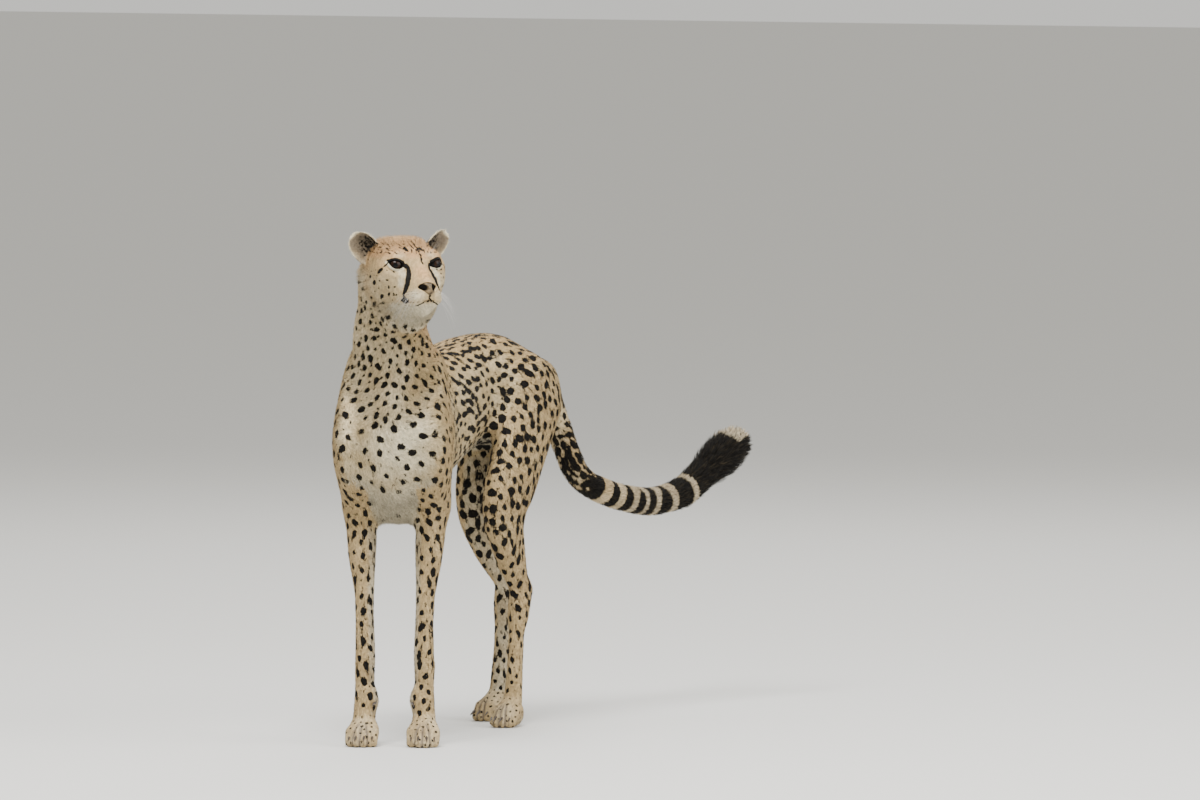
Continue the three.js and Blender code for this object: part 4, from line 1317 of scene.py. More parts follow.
    def distance(self, points: np.ndarray, normals: np.ndarray) -> np.ndarray:
        """How far each place lies outside the nearest stroke, in millimetres, below 0 inside it.

        Args:
            points: Places on the skin.
            normals: The skin's normal at each of them.

        Returns:
            The distances, no more than the reach.
        """
        tree = point_tree(points)
        nearest = np.full(len(points), self.reach)
        for start, end, wide, narrow, normal, flat in self.strokes:
            middle, along = (start + end) / 2, end - start
            span = np.linalg.norm(along) / 2 + max(wide, narrow) + self.reach * MM
            found = [hit[1] for hit in tree.find_range(middle, span)]
            if not found:
                continue
            found = np.array(found)
            found = found[normals[found] @ normal > (0.0 if flat else -0.2)]
            away = points[found] - start
            away -= flat * (away @ normal)[:, None] * normal
            share = np.clip((away @ along) / max(along @ along, 1e-12), 0, 1)
            gap = np.linalg.norm(away - share[:, None] * along, axis=1)
            gap -= wide + (narrow - wide) * share
            nearest[found] = np.minimum(nearest[found], gap / MM)
        return nearest


def finer(path: np.ndarray, radii: list[float], step: float = 1.6) -> tuple[np.ndarray, np.ndarray]:
    """Adds points to a path so that no two are much further apart than a step.

    Args:
        path: The path's points.
        radii: The radius at each of them.
        step: The distance wanted.

    Returns:
        The points and radii of the finer path.
    """
    run = np.concatenate([[0], np.cumsum(np.linalg.norm(np.diff(path, axis=0), axis=1))])
    at = np.linspace(0, run[-1], max(2, math.ceil(run[-1] / step) + 1))
    return np.stack([np.interp(at, run, column) for column in path.T], 1), np.interp(at, run, radii)


FACE_LINES = [
    (TEAR_LINE, [2.4, 3.5, 4.4, 4.8, 4.8, 4.5, 2.2]),
    ([(5, 54, 8), (0, 61, 0), (-4, 66, -6)], [2.2, 1.5, 1.1]),
    ([(-5, 67, -8), (-11, 70, -15)], [3.2, 2.6]),
    (LIP_LINE, [1.7, 1.5, 1.4, 1.2, 1.0, 0.6]),
    ([(-3, 15.8, 26), (-8, 16.5, 32)], [4.2, 3.2]),
    ([(35, 38, -59), (34, 38.5, -62)], [2.2, 1.4]),
]
CHEEK_SPOTS = [
    (-27, 70, -34, 3.2),
    (-41, 71, -23, 2.6),
    (-13, 61, -59, 2.8),
    (-15, 57, -72, 2.3),
    (-33, 59, -81, 2.6),
    (8, 57, -41, 1.6),
    (4, 55, -54, 1.9),
    (14, 49, -55, 1.4),
    (-48, 67, -63, 3.0),
    (-38, 63, -73, 2.2),
]


class Scatter:
    """Places already taken, kept in cells so that near ones are found fast."""

    def __init__(self, cell: float) -> None:
        """Starts empty.

        Args:
            cell: The side of a cell, no smaller than half of any distance asked for.
        """
        self.cell = cell
        self.cells: dict[tuple, list] = {}

    def is_free(self, point: np.ndarray, distance: float) -> bool:
        """Whether nothing taken lies within the distance of a point."""
        x, y, z = (int(math.floor(value / self.cell)) for value in point)
        reach = int(math.ceil(distance / self.cell))
        limit = distance * distance
        for i in range(x - reach, x + reach + 1):
            for j in range(y - reach, y + reach + 1):
                for k in range(z - reach, z + reach + 1):
                    for a, b, c in self.cells.get((i, j, k), ()):
                        if (a - point[0]) ** 2 + (b - point[1]) ** 2 + (c - point[2]) ** 2 < limit:
                            return False
        return True

    def add(self, point: np.ndarray) -> None:
        """Marks a point as taken."""
        key = tuple(int(math.floor(value / self.cell)) for value in point)
        self.cells.setdefault(key, []).append(tuple(point))


# ---- Colouring ----
PALE_PATCHES = [
    (0.8, (26, 36, -16), (14, 9, 12)),
    (0.95, (28, 41, -32), (12, 7, 14)),
    (0.4, (8, 31, 17), (15, 15, 8)),
    (0.6, (-88, 74, -35), (26, 18, 38)),
    (0.75, (54, 24, -58), (22, 16, 13)),
    (0.5, (30, 50, -62), (24, 18, 14)),
]


@dataclass
class Colouring:
    """What the coat's finish reads at each place: markings and the shares of its ground colours."""

    skin: Skin
    markings: Markings

    def __post_init__(self) -> None:
        """Finds which way is inward for each leg."""
        self.inward = np.zeros((len(self.skin.anatomy.flesh), 3))
        for number, node in enumerate(self.skin.anatomy.flesh):
            if node_kind(node) in LIMB_LIES:
                other = node.replace("left", "*").replace("right", "left").replace("*", "right")
                self.inward[number] = unit(node_centre(other) - node_centre(node))

    def fields(self, points: np.ndarray, normals: np.ndarray, node: np.ndarray, tail: np.ndarray) -> dict:
        """Works out the numbers that the coat's finish reads.

        Args:
            points: Places on the skin.
            normals: The skin's normals there.
            node: The number of the node that each place belongs to.
            tail: How far along the tail each place is.

        Returns:
            black (millimetres outside the nearest mark), pale, warm and grey (shares from 0 to 1); grey is
            partly painted shade.
        """
        anatomy = self.skin.anatomy
        local = anatomy.in_head(points)
        kinds = np.array([node_kind(name) for name in anatomy.flesh])[node]
        head, neck, chest, ear = (kinds == name for name in ("head", "neck", "chest", "ear"))
        trunk = np.isin(kinds, ["chest", "loin", "rump"])
        on_tail = np.char.startswith(kinds.astype(str), "tail")
        ahead, up = normals[:, 0], normals[:, 2]
        black = self.markings.distance(points, normals)
        sides = 0.3 * smooth_step(0.8, 0.3, up)
        pale = np.where(trunk, np.maximum(smooth_step(-0.25, -0.85, up), sides), 0.1)
        patch = np.linalg.norm((points - BREAST_PATCH) / np.array([0.075, 0.065, 0.09]), axis=1)
        front = 0.42 * smooth_step(0.2, 0.8, ahead) + 0.5 * smooth_step(1.15, 0.3, patch)
        pale = np.where(chest | neck, np.maximum(pale, front), pale)
        inner = smooth_step(0.25, 0.85, (self.inward[node] * normals).sum(1))
        pale = np.maximum(pale, 0.55 * inner)
        paw = np.isin(kinds, ["fore_paw", "hind_paw"])
        pale = np.where(paw, 0.3, pale)
        warm = np.where(trunk | neck, 0.25 * smooth_step(0.3, 0.95, up), 0.1)
        warm = np.where(neck, np.maximum(warm, 0.55 * smooth_step(0.3, -0.4, ahead)), warm)
        # Painted shade: the trunk turns grey where its skin faces down, under the belly, and each leg greys
        # on the side that faces the other leg.
        grey = np.where(trunk, 0.45 * smooth_step(-0.35, -0.9, up), 0.1)
        grey = np.maximum(grey, 0.25 * inner)
        # Painted shade in the grooves between the toes: greyer the deeper the groove.
        grey = np.where(paw, 0.1 + 0.75 * toe_grooves(points), grey)
        for opening in eye_openings(anatomy):
            margin, above = opening.margin(local)
            black = np.where(head, np.minimum(black, margin - np.where(above > 0, 3.2, 1.0)), black)
        black = np.where(head, black * 2.2, black)
        # Painted shade: besides its own even grey, the head turns greyer toward its underside, below the jaw
        # and chin.
        grey = np.where(head, 0.15 + 0.2 * smooth_step(-60, -85, local[:, 2]), grey)
        face_pale, face_warm = self._face(local)
        pale, warm = np.where(head, face_pale, pale), np.where(head, face_warm, warm)
        throat = smooth_step(-70, -95, local[:, 2]) * smooth_step(-60, 0, local[:, 0])
        pale = np.where(neck, np.maximum(pale, 0.8 * throat), pale)
        ear_black, ear_pale = self._ears(normals, local)
        black, pale = np.where(ear, ear_black, black), np.where(ear, ear_pale, pale)
        grey, warm = np.where(ear, 0.8 * (1 - ear_pale), grey), np.where(ear, 0.1, warm)
        tail_black, tail_pale = self._tail(black, tail, up)
        black, pale = np.where(on_tail, tail_black, black), np.where(on_tail, tail_pale, pale)
        grey = np.where(on_tail, 0.15 + 0.3 * smooth_step(0.3, 0.5, tail), grey)
        return {"black": black, "pale": pale, "warm": warm, "grey": grey}

    def _face(self, local: np.ndarray) -> tuple[np.ndarray, np.ndarray]:
        """The pale and warm shares of the head."""
        folded = np.stack([local[:, 0], np.abs(local[:, 1]), local[:, 2]], 1)
        pale = 0.08 + 0.26 * smooth_step(6, -30, local[:, 2]) * smooth_step(30, 50, folded[:, 1])
        for opening in eye_openings(self.skin.anatomy):
            margin, above = opening.margin(local)
            pale = np.maximum(pale, smooth_step(7.0, 3.0, margin) * smooth_step(1.0, -2.0, above))
        for share, centre, reach in PALE_PATCHES:
            pale = np.maximum(pale, share * bump_at(folded, centre, reach))
        pale = np.maximum(pale, 0.85 * smooth_step(-62, -80, local[:, 2]) * smooth_step(-40, 10, local[:, 0]))
        warm = smooth_step(2, 20, local[:, 2])
        warm = np.maximum(warm, bump_at(folded, (40, 0, -16), (30, 22, 26)))
        warm = np.maximum(warm, 0.5 * smooth_step(-30, -60, local[:, 0]))
        warm = np.maximum(warm, 0.45 * bump_at(folded, (-10, 62, 0), (26, 20, 24)))
        return np.clip(pale, 0, 1), np.clip(warm * (1 - pale), 0, 1)

    def _ears(self, normals: np.ndarray, local: np.ndarray) -> tuple[np.ndarray, np.ndarray]:
        """The black and pale of the ears, which have black backs, dark cups and a pale edge; the cups' dark
        is partly dark skin and partly painted shade.

        Args:
            normals: The skin's normals.
            local: Places in the head's axes.

        Returns:
            The distance outside the black, and the pale share.
        """
        black, pale = np.full(len(local), 4.0), np.zeros(len(local))
        for side in Side:
            share, swing, out = ear_axes(local, side)
            facing = normals @ self.skin.anatomy.way(*out)
            rim = np.maximum(np.abs(swing), smooth_step(0.6, 1.0, share))
            centre = np.hypot((share - 0.2) / 0.75, (swing + 0.45) / 1.25)
            # The dark of the cup is partly the ear's dark skin and partly painted shade inside the hollow of
            # the cup.
            cup = -0.5 + 2.0 * smooth_step(0.3, 1.25, centre)
            behind = 22 * (np.maximum(0.95 * np.abs(swing), 1.6 * np.abs(share - 0.48)) - 0.72)
            edge = smooth_step(0.80, 0.96, rim) * smooth_step(0.25, 0.45, share)
            fringe = 0.4 * smooth_step(0.45, 0.8, swing) * smooth_step(0.75, 0.4, share)
            here = local[:, 1] * side > 0
            ear_black = np.where(facing > 0, np.where(edge > 0.4, 4.0, cup), behind)
            black = np.where(here, ear_black, black)
            pale = np.where(here, np.maximum(edge, fringe * (facing > 0)), pale)
        return black, pale

    def _tail(self, black: np.ndarray, share: np.ndarray, up: np.ndarray) -> tuple[np.ndarray, np.ndarray]:
        """The tail's dark root, its rings and its black end.

        Args:
            black: The distance outside its spots.
            share: How far along the tail each place is.
            up: How far the skin faces up.

        Returns:
            The distance outside its black, and the pale share.
        """
        length = self.skin.tail_length / MM
        nearest = np.full(len(share), self.markings.reach)
        for middle, width, open_above in TAIL_RINGS:
            ring = (np.abs(share - middle) - width / 2) * length
            ring += open_above * 9.0 * smooth_step(0.0, 0.9, up)
            nearest = np.minimum(nearest, ring)
        rooted = np.minimum(nearest, black - 1.5 * smooth_step(0.0, 0.12, share))
        black = np.clip(np.where(share < TAIL_SPOTS_END, rooted, nearest), -8, self.markings.reach)
        tipped = smooth_step(0.90, 0.95, share) * smooth_step(0.25, 0.7, up)
        black = np.where(tipped > 0.4, 0.4, black)
        pale = 0.5 * smooth_step(0.22, 0.42, share)
        pale = np.maximum(pale, 0.35 * smooth_step(0.2, -0.6, up))
        return black, pale


EAR_ROOT = (-57.0, 59.0, 10.0)
EAR_HEIGHT = 62.0
EAR_WIDTH = 60.0
EAR_TURN = 33.0
EAR_LEAN = 42.0


def ear_axes(local: np.ndarray, side: Side) -> tuple[np.ndarray, np.ndarray, tuple]:
    """Where places lie on an ear.

    Args:
        local: Places in the head's axes.
        side: The side of the head that the ear is on.

    Returns:
        The share of the ear's height, the share of its half width (below 0 toward the crown),
        and the way the cup faces.
    """
    turn, lean = math.radians(EAR_TURN), math.radians(EAR_LEAN)
    rise = np.array([0.0, side * math.sin(lean), math.cos(lean)])
    facing = np.array([math.cos(turn), side * math.sin(turn), 0.0])
    across = unit(np.cross(rise, facing)) * side
    out = np.cross(across, rise) * side
    away = local - np.array(EAR_ROOT) * np.array([1.0, side, 1.0])
    share = np.clip(away @ rise / EAR_HEIGHT, 0, 0.999)
    half = EAR_WIDTH / 2 * np.sqrt(1 - share**2.6) * (0.82 + 0.34 * share)
    return share, away @ across / half, tuple(out)


BREAST_FOOT = np.array([0.6193, 0.0019])
BREAST_PATCH = np.array([0.593, 0.017, 0.585])
TAIL_SPOTS_END = 0.235
TAIL_RINGS = [
    (0.258, 0.049, 0.5),
    (0.338, 0.036, 0.5),
    (0.401, 0.036, 0.5),
    (0.458, 0.032, 0.9),
    (0.507, 0.032, 0.0),
    (0.571, 0.050, 0.9),
    (0.657, 0.068, 0.0),
    (0.870, 0.310, 0.0),
]


# ---- The coat ----
COAT_PIECES = {
    "coat_head": ["head"],
    "coat_ears": ["ear"],
    "coat_neck": ["neck"],
    "coat_chest": ["chest"],
    "coat_loin": ["loin"],
    "coat_rump": ["rump"],
    "coat_fore_legs": ["upper_arm", "forearm", "fore_paw"],
    "coat_thighs": ["thigh"],
    "coat_hind_legs": ["shin", "metatarsus", "hind_paw"],
    "coat_tail": ["tail_1", "tail_2", "tail_3", "tail_4", "tail_5"],
}


@dataclass
class Roots:
    """Where tufts grow, and how, one row a tuft.

    Attributes:
        place: Where each tuft is rooted.
        normal: The skin's normal there.
        lie: The way it lies.
        kind: The number of the kind of part it grows on.
        node: The number of the node it grows on.
        tail_share: How far along the tail it is.
    """

    place: np.ndarray
    normal: np.ndarray
    lie: np.ndarray
    kind: np.ndarray
    node: np.ndarray
    tail_share: np.ndarray

    def picked(self, chosen: np.ndarray) -> "Roots":
        """The same roots, but only the chosen ones."""
        return Roots(*(getattr(self, column.name)[chosen] for column in fields(self)))


@dataclass
class Coat:
    """The fur, as solid tufts over the skin.

    Attributes:
        skin: The skin that it grows on.
        colouring: What its finish reads.
        most_triangles: The most triangles that one piece may have.
    """

    skin: Skin
    colouring: Colouring
    most_triangles: int = 198_000

    def build(self) -> list[bpy.types.Object]:
        """Grows the whole coat.

        Returns:
            The pieces of the coat.
        """
        self.chance = np.random.default_rng(SEED + 1)
        roots = self._roots()
        material = COAT_FINISH.material()
        pieces, total = [], 0
        for name, kinds in COAT_PIECES.items():
            wanted = [self.skin.kind_names.index(kind) for kind in kinds]
            chosen = np.nonzero(np.isin(roots.kind, wanted))[0]
            parts = self._parts_needed(kinds, len(chosen))
            for number, share in enumerate(np.array_split(self._side_order(roots, chosen), parts)):
                title = name if parts == 1 else f"{name}_{number + 1}"
                piece = self._grow(title, roots.picked(share))
                piece.data.materials.append(material)
                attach(piece, "root")
                pieces.append(piece)
                total += len(piece.data.polygons)
                LOG.info("%s: %d triangles", title, len(piece.data.polygons))
        LOG.info("coat: %d triangles", total)
        return pieces

    def _side_order(self, roots: Roots, chosen: np.ndarray) -> np.ndarray:
        """The chosen roots ordered from right to left, so that a split is a split of sides."""
        return chosen[np.argsort(roots.place[chosen, 1], kind="stable")]

    def _parts_needed(self, kinds: list[str], tufts: int) -> int:
        """How many pieces these tufts need."""
        most = max(4 if ZONES[kind].rings == 1 else 10 for kind in kinds)
        return max(1, math.ceil(tufts * most / self.most_triangles))

    def _roots(self) -> Roots:
        """Spreads roots evenly over the skin, as close as each zone wants."""
        skin = self.skin
        corners = skin.triangles
        one, two, three = (skin.points[corners[:, c]] for c in range(3))
        across = np.cross(two - one, three - one)
        area = np.linalg.norm(across, axis=1) / 2
        spacing = skin.by_kind({k: ZONES[k].spacing for k in skin.kind_names}, skin.net, 6)
        spacing = spacing * self._spacing_factor()
        middle = (one + two + three) / 3
        wanted = area / (spacing[corners].mean(1) * MM) ** 2
        order = near_order(middle)
        growing = np.cumsum(wanted[order])
        count = int(growing[-1])
        at = np.arange(count) + self.chance.uniform(0, 1, count)
        face = order[np.minimum(np.searchsorted(growing, at), len(order) - 1)]
        u, v = self.chance.uniform(0, 1, (2, count))
        flip = u + v > 1
        u, v = np.where(flip, 1 - u, u), np.where(flip, 1 - v, v)
        weights = np.stack([1 - u - v, u, v], 1)
        pick = corners[face]

        def spread(values: np.ndarray) -> np.ndarray:
            """Values of the skin's points, spread to the roots."""
            return (values[pick] * weights[:, :, None]).sum(1)

        place = spread(skin.points)
        normal = unit(spread(skin.normals))
        lie = spread(skin.lie)
        lie = unit(lie - (lie * normal).sum(1, keepdims=True) * normal)
        corner = pick[np.arange(count), weights.argmax(1)]
        roots = Roots(
            place, normal, lie, skin.kind_index[corner], skin.node_index[corner],
            spread(skin.tail_share[:, None])[:, 0],
        )
        return roots.picked(self._may_grow(roots))

    def _spacing_factor(self) -> np.ndarray:
        """Makes the tufts finer and closer on the muzzle than on the rest of the head."""
        local = self.skin.anatomy.in_head(self.skin.points)
        face = smooth_step(-20, 45, local[:, 0]) * self.skin.is_kind("head")
        return 1.0 - 0.3 * face

    def _may_grow(self, roots: Roots) -> np.ndarray:
        """Keeps tufts off the eyes, the nose leather and the soles."""
        local = self.skin.anatomy.in_head(roots.place)
        grows = np.ones(len(local), bool)
        for opening in eye_openings(self.skin.anatomy):
            grows &= opening.margin(local)[0] > 1.6
        nose = nose_middle(self.skin.anatomy)
        grows &= (Nose.nearness(local - nose, 20.0) > 1.08) | (local[:, 0] < nose[0] - 8)
        for side in Side:
            grows &= path_distance(local, mirrored(LIP_LINE, side)) > 1.2
        grows &= path_distance(local, np.array(PHILTRUM, float)) > 1.4
        grows &= ~((roots.place[:, 2] < 4 * MM) & (roots.normal[:, 2] < -0.3))
        return grows

    def _shape_numbers(self, roots: Roots) -> dict[str, np.ndarray]:
        """The length, width, lift and waywardness of each tuft."""
        zones = [ZONES[kind] for kind in self.skin.kind_names]
        sizes = np.array([(zone.length, zone.width, zone.stand) for zone in zones])
        length, width, stand = sizes[roots.kind].T.copy()
        local = self.skin.anatomy.in_head(roots.place)
        kinds = np.array(self.skin.kind_names)[roots.kind]
        head = kinds == "head"
        muzzle = smooth_step(-30, 50, local[:, 0]) * head
        ruff = head * smooth_step(-60, -90, local[:, 2]) * smooth_step(55, 10, local[:, 0])
        crown = head * smooth_step(28, 44, local[:, 2])
        jowl = head * smooth_step(-35, -80, local[:, 0]) * smooth_step(15, -25, local[:, 2])
        length *= 1 - 0.58 * muzzle + 1.1 * ruff + 0.9 * crown + 1.6 * jowl
        stand *= 1 - 0.6 * muzzle + 1.2 * ruff + 4.4 * crown + 3.2 * jowl
        width *= 1 - 0.25 * muzzle
        for opening in eye_openings(self.skin.anatomy):
            near = head * smooth_step(14, 3, opening.margin(local)[0])
            length *= 1 - 0.5 * near
            stand *= 1 - 0.6 * near
        trunk = np.isin(kinds, ["chest", "loin"])
        belly = trunk * smooth_step(-0.45, -0.9, roots.normal[:, 2])
        length *= 1 + 0.8 * belly
        stand *= 1 + 0.9 * belly
        length *= 1 - 0.65 * smooth_step(0.88, 0.99, roots.tail_share)
        stray = np.where(kinds == "neck", 0.24, 0.15) + 0.12 * belly
        for side in Side:
            cup = (kinds == "ear") & (local[:, 1] * side > 0)
            share, swing, out = ear_axes(local, side)
            cup = cup * smooth_step(0.2, 0.7, roots.normal @ self.skin.anatomy.way(*out))
            cup *= smooth_step(0.85, 0.45, np.abs(swing)) * smooth_step(0.85, 0.5, share)
            length *= 1 + 1.2 * cup
            stand *= 1 + 1.0 * cup
        stray = np.where(kinds == "ear", 0.4, stray)
        count = len(length)
        length *= self.chance.uniform(0.7, 1.2, count)
        width *= self.chance.uniform(0.75, 1.2, count)
        stand *= self.chance.uniform(0.35, 1.25, count)
        return {"length": length * MM, "width": width * MM, "stand": stand * MM, "stray": stray}

    def _grow(self, name: str, roots: Roots) -> bpy.types.Object:
        """Grows one piece of the coat from its roots.

        Args:
            name: The piece's name.
            roots: Where its tufts grow.

        Returns:
            The piece, with its map and the numbers that its finish reads.
        """
        rings = max(ZONES[self.skin.kind_names[kind]].rings for kind in np.unique(roots.kind))
        numbers = self._shape_numbers(roots)
        count = len(roots.place)
        side = np.cross(roots.normal, roots.lie)
        turn = self.chance.normal(0, 1, count) * numbers["stray"]
        way = np.cos(turn)[:, None] * roots.lie + np.sin(turn)[:, None] * side
        side = np.cross(roots.normal, way)
        shares = np.linspace(0, 1, rings + 1)
        sink = 0.0005
        points = np.zeros((count, 3 * rings + 1, 3))
        for ring, share in enumerate(shares):
            rise = numbers["stand"] * (share * (1.6 - 0.6 * share)) - sink * (1 - share)
            middle = roots.place + way * (numbers["length"] * share)[:, None] + roots.normal * rise[:, None]
            if ring == rings:
                points[:, -1] = middle
                continue
            half = side * (numbers["width"] * (0.5 if ring == 0 or rings == 1 else 0.46))[:, None]
            ridge = roots.normal * (numbers["width"] * 0.3)[:, None]
            points[:, 3 * ring] = middle + half
            points[:, 3 * ring + 1] = middle - half
            points[:, 3 * ring + 2] = middle + ridge
        corners = tuft_faces(rings)
        per_tuft = points.shape[1]
        faces = (corners[None] + (np.arange(count) * per_tuft)[:, None, None]).reshape(-1, 3)
        piece = add_mesh(name, points.reshape(-1, 3), faces)
        down = numbers["length"][:, None] * shares[None]
        spots = roots.place[:, None] + way[:, None] * down[:, :, None]
        tail = roots.tail_share[:, None] + (roots.tail_share > 0)[:, None] * down / self.skin.tail_length
        fields = self.colouring.fields(
            spots.reshape(-1, 3),
            np.repeat(roots.normal, rings + 1, axis=0),
            np.repeat(roots.node, rings + 1),
            np.minimum(tail, 1.0).ravel(),
        )
        level = np.concatenate([np.repeat(np.arange(rings), 3), [rings]])
        for field_name, values in fields.items():
            store(piece.data, field_name, values.reshape(count, rings + 1)[:, level].ravel())
        store(piece.data, "strand", np.repeat(self.chance.uniform(0, 1, count), per_tuft))
        along = shares[level]
        store(piece.data, "along", np.tile(along, count))
        add_patches(piece.data, skin_unwrap(roots), corners, along)
        return piece


def near_order(points: np.ndarray) -> np.ndarray:
    """An order in which places that follow each other also lie near each other."""
    cells = np.clip((points - points.min(0)) / 0.004, 0, 1023).astype(np.int64)
    key = np.zeros(len(points), np.int64)
    for bit in range(10):
        for axis in range(3):
            key |= ((cells[:, axis] >> bit) & 1) << (3 * bit + axis)
    return np.argsort(key, kind="stable")


def tuft_faces(rings: int) -> np.ndarray:
    """The triangles of one closed, pointed tuft with so many rings of three points."""
    faces = [(0, 1, 2)]
    for ring in range(rings - 1):
        low, high = 3 * ring, 3 * ring + 3
        for a, b in ((0, 1), (1, 2), (2, 0)):
            faces.append((low + b, low + a, high + a))
            faces.append((low + b, high + a, high + b))
    last = 3 * (rings - 1)
    for a, b in ((0, 1), (1, 2), (2, 0)):
        faces.append((last + b, last + a, last + 3))
    return np.array(faces)


def skin_unwrap(roots: Roots) -> np.ndarray:
    """Lays the skin under a piece of coat out flat: each node by the way that its skin faces.

    Args:
        roots: The places to lay out.

    Returns:
        Their places on the map, from 0 to 1.
    """
    axis = np.abs(roots.normal).argmax(1)
    sign = (roots.normal[np.arange(len(axis)), axis] > 0).astype(int)
    chart = (roots.node * 3 + axis) * 2 + sign
    charts = np.unique(chart)
    across = math.ceil(math.sqrt(len(charts)))
    flat = np.zeros((len(axis), 2))
    for number, name in enumerate(charts):
        chosen = chart == name
        kept = [a for a in range(3) if a != (name // 2) % 3]
        spread = roots.place[chosen][:, kept]
        spread = (spread - spread.min(0)) / max(float(np.ptp(spread, axis=0).max()), 1e-6)
        cell = np.array([number % across, number // across])
        flat[chosen] = (cell + 0.02 + 0.96 * spread) / across
    return flat


def add_patches(mesh: bpy.types.Mesh, places: np.ndarray, corners: np.ndarray, along: np.ndarray) -> None:
    """Gives each tuft a small patch of the map, at its root's place.

    Args:
        mesh: The tufts.
        places: The place of each tuft's root on the map.
        corners: The triangles of one tuft.
        along: How far along the tuft each of its points is.
    """
    around = np.array([(-0.5, 0.5, 0.0)[number % 3] for number in range(len(along))]) * (1 - along)
    inside = np.stack([around, along - 0.5], 1) * PATCH
    layer = mesh.uv_layers.new(name="OFBake")
    places = PATCH + places * (1 - 2 * PATCH)
    loops = (places[:, None, :] + inside[corners.ravel()][None]).reshape(-1)
    layer.data.foreach_set("uv", loops.astype(np.float32))


# ---- Finishes ----
def new_material(name: str) -> tuple[bpy.types.Material, bpy.types.NodeTree, bpy.types.Node]:
    """A material with its node tree and main shader."""
    material = bpy.data.materials.new(name)
    material.use_nodes = True
    tree = material.node_tree
    return material, tree, tree.nodes["Principled BSDF"]


@dataclass
class Nodes:
    """Short ways to add shader nodes to one tree."""

    tree: bpy.types.NodeTree

    def add(self, kind: str, **settings: object) -> bpy.types.Node:
        """Adds a node of a kind and sets its own settings."""
        node = self.tree.nodes.new(kind)
        for name, value in settings.items():
            setattr(node, name, value)
        return node

    def feed(self, socket: bpy.types.NodeSocket, value: object) -> None:
        """Links a socket to another, or gives it a plain value."""
        if isinstance(value, bpy.types.NodeSocket):
            self.tree.links.new(value, socket)
        else:
            socket.default_value = value

    def number(self, name: str) -> bpy.types.NodeSocket:
        """A number kept in the mesh."""
        return self.add("ShaderNodeAttribute", attribute_name=name).outputs["Fac"]

    def maths(self, operation: str, one: object, other: object = 0.0) -> bpy.types.NodeSocket:
        """One sum."""
        node = self.add("ShaderNodeMath", operation=operation)
        self.feed(node.inputs[0], one)
        self.feed(node.inputs[1], other)
        return node.outputs[0]

    def ramp(
        self, value: object, low: float, high: float, to_low: float = 0.0, to_high: float = 1.0
    ) -> bpy.types.NodeSocket:
        """A smooth change from one number to another."""
        node = self.add("ShaderNodeMapRange", interpolation_type="SMOOTHSTEP")
        for place, number in enumerate((value, low, high, to_low, to_high)):
            self.feed(node.inputs[place], number)
        return node.outputs[0]

    def mix(self, share: object, one: object, other: object, blend: str = "MIX") -> bpy.types.NodeSocket:
        """Two colours mixed."""
        node = self.add("ShaderNodeMix", data_type="RGBA", blend_type=blend)
        self.feed(node.inputs["Factor"], share)
        self.feed(node.inputs["A"], one)
        self.feed(node.inputs["B"], other)
        return node.outputs["Result"]

    def bump(self, shader: bpy.types.Node, height: object, depth: float, strength: float = 1.0) -> None:
        """Presses a height into a shader's surface, so many metres deep."""
        node = self.add("ShaderNodeBump")
        for name, value in (("Distance", depth), ("Strength", strength), ("Height", height)):
            self.feed(node.inputs[name], value)
        self.feed(shader.inputs["Normal"], node.outputs[0])

    def noise(self, size: float, detail: float = 3.0, stretch: tuple = (1, 1, 1)) -> bpy.types.NodeSocket:
        """Noise whose grains are about so many metres across, stretched along the axes."""
        place = self.add("ShaderNodeTexCoord").outputs["Object"]
        scale = self.add("ShaderNodeMapping")
        self.feed(scale.inputs["Vector"], place)
        self.feed(scale.inputs["Scale"], tuple(1 / (size * s) for s in stretch))
        node = self.add("ShaderNodeTexNoise")
        self.feed(node.inputs["Vector"], scale.outputs[0])
        self.feed(node.inputs["Scale"], 1.0)
        self.feed(node.inputs["Detail"], detail)
        self.feed(node.inputs["Roughness"], 0.55)
        return node.outputs["Fac"]


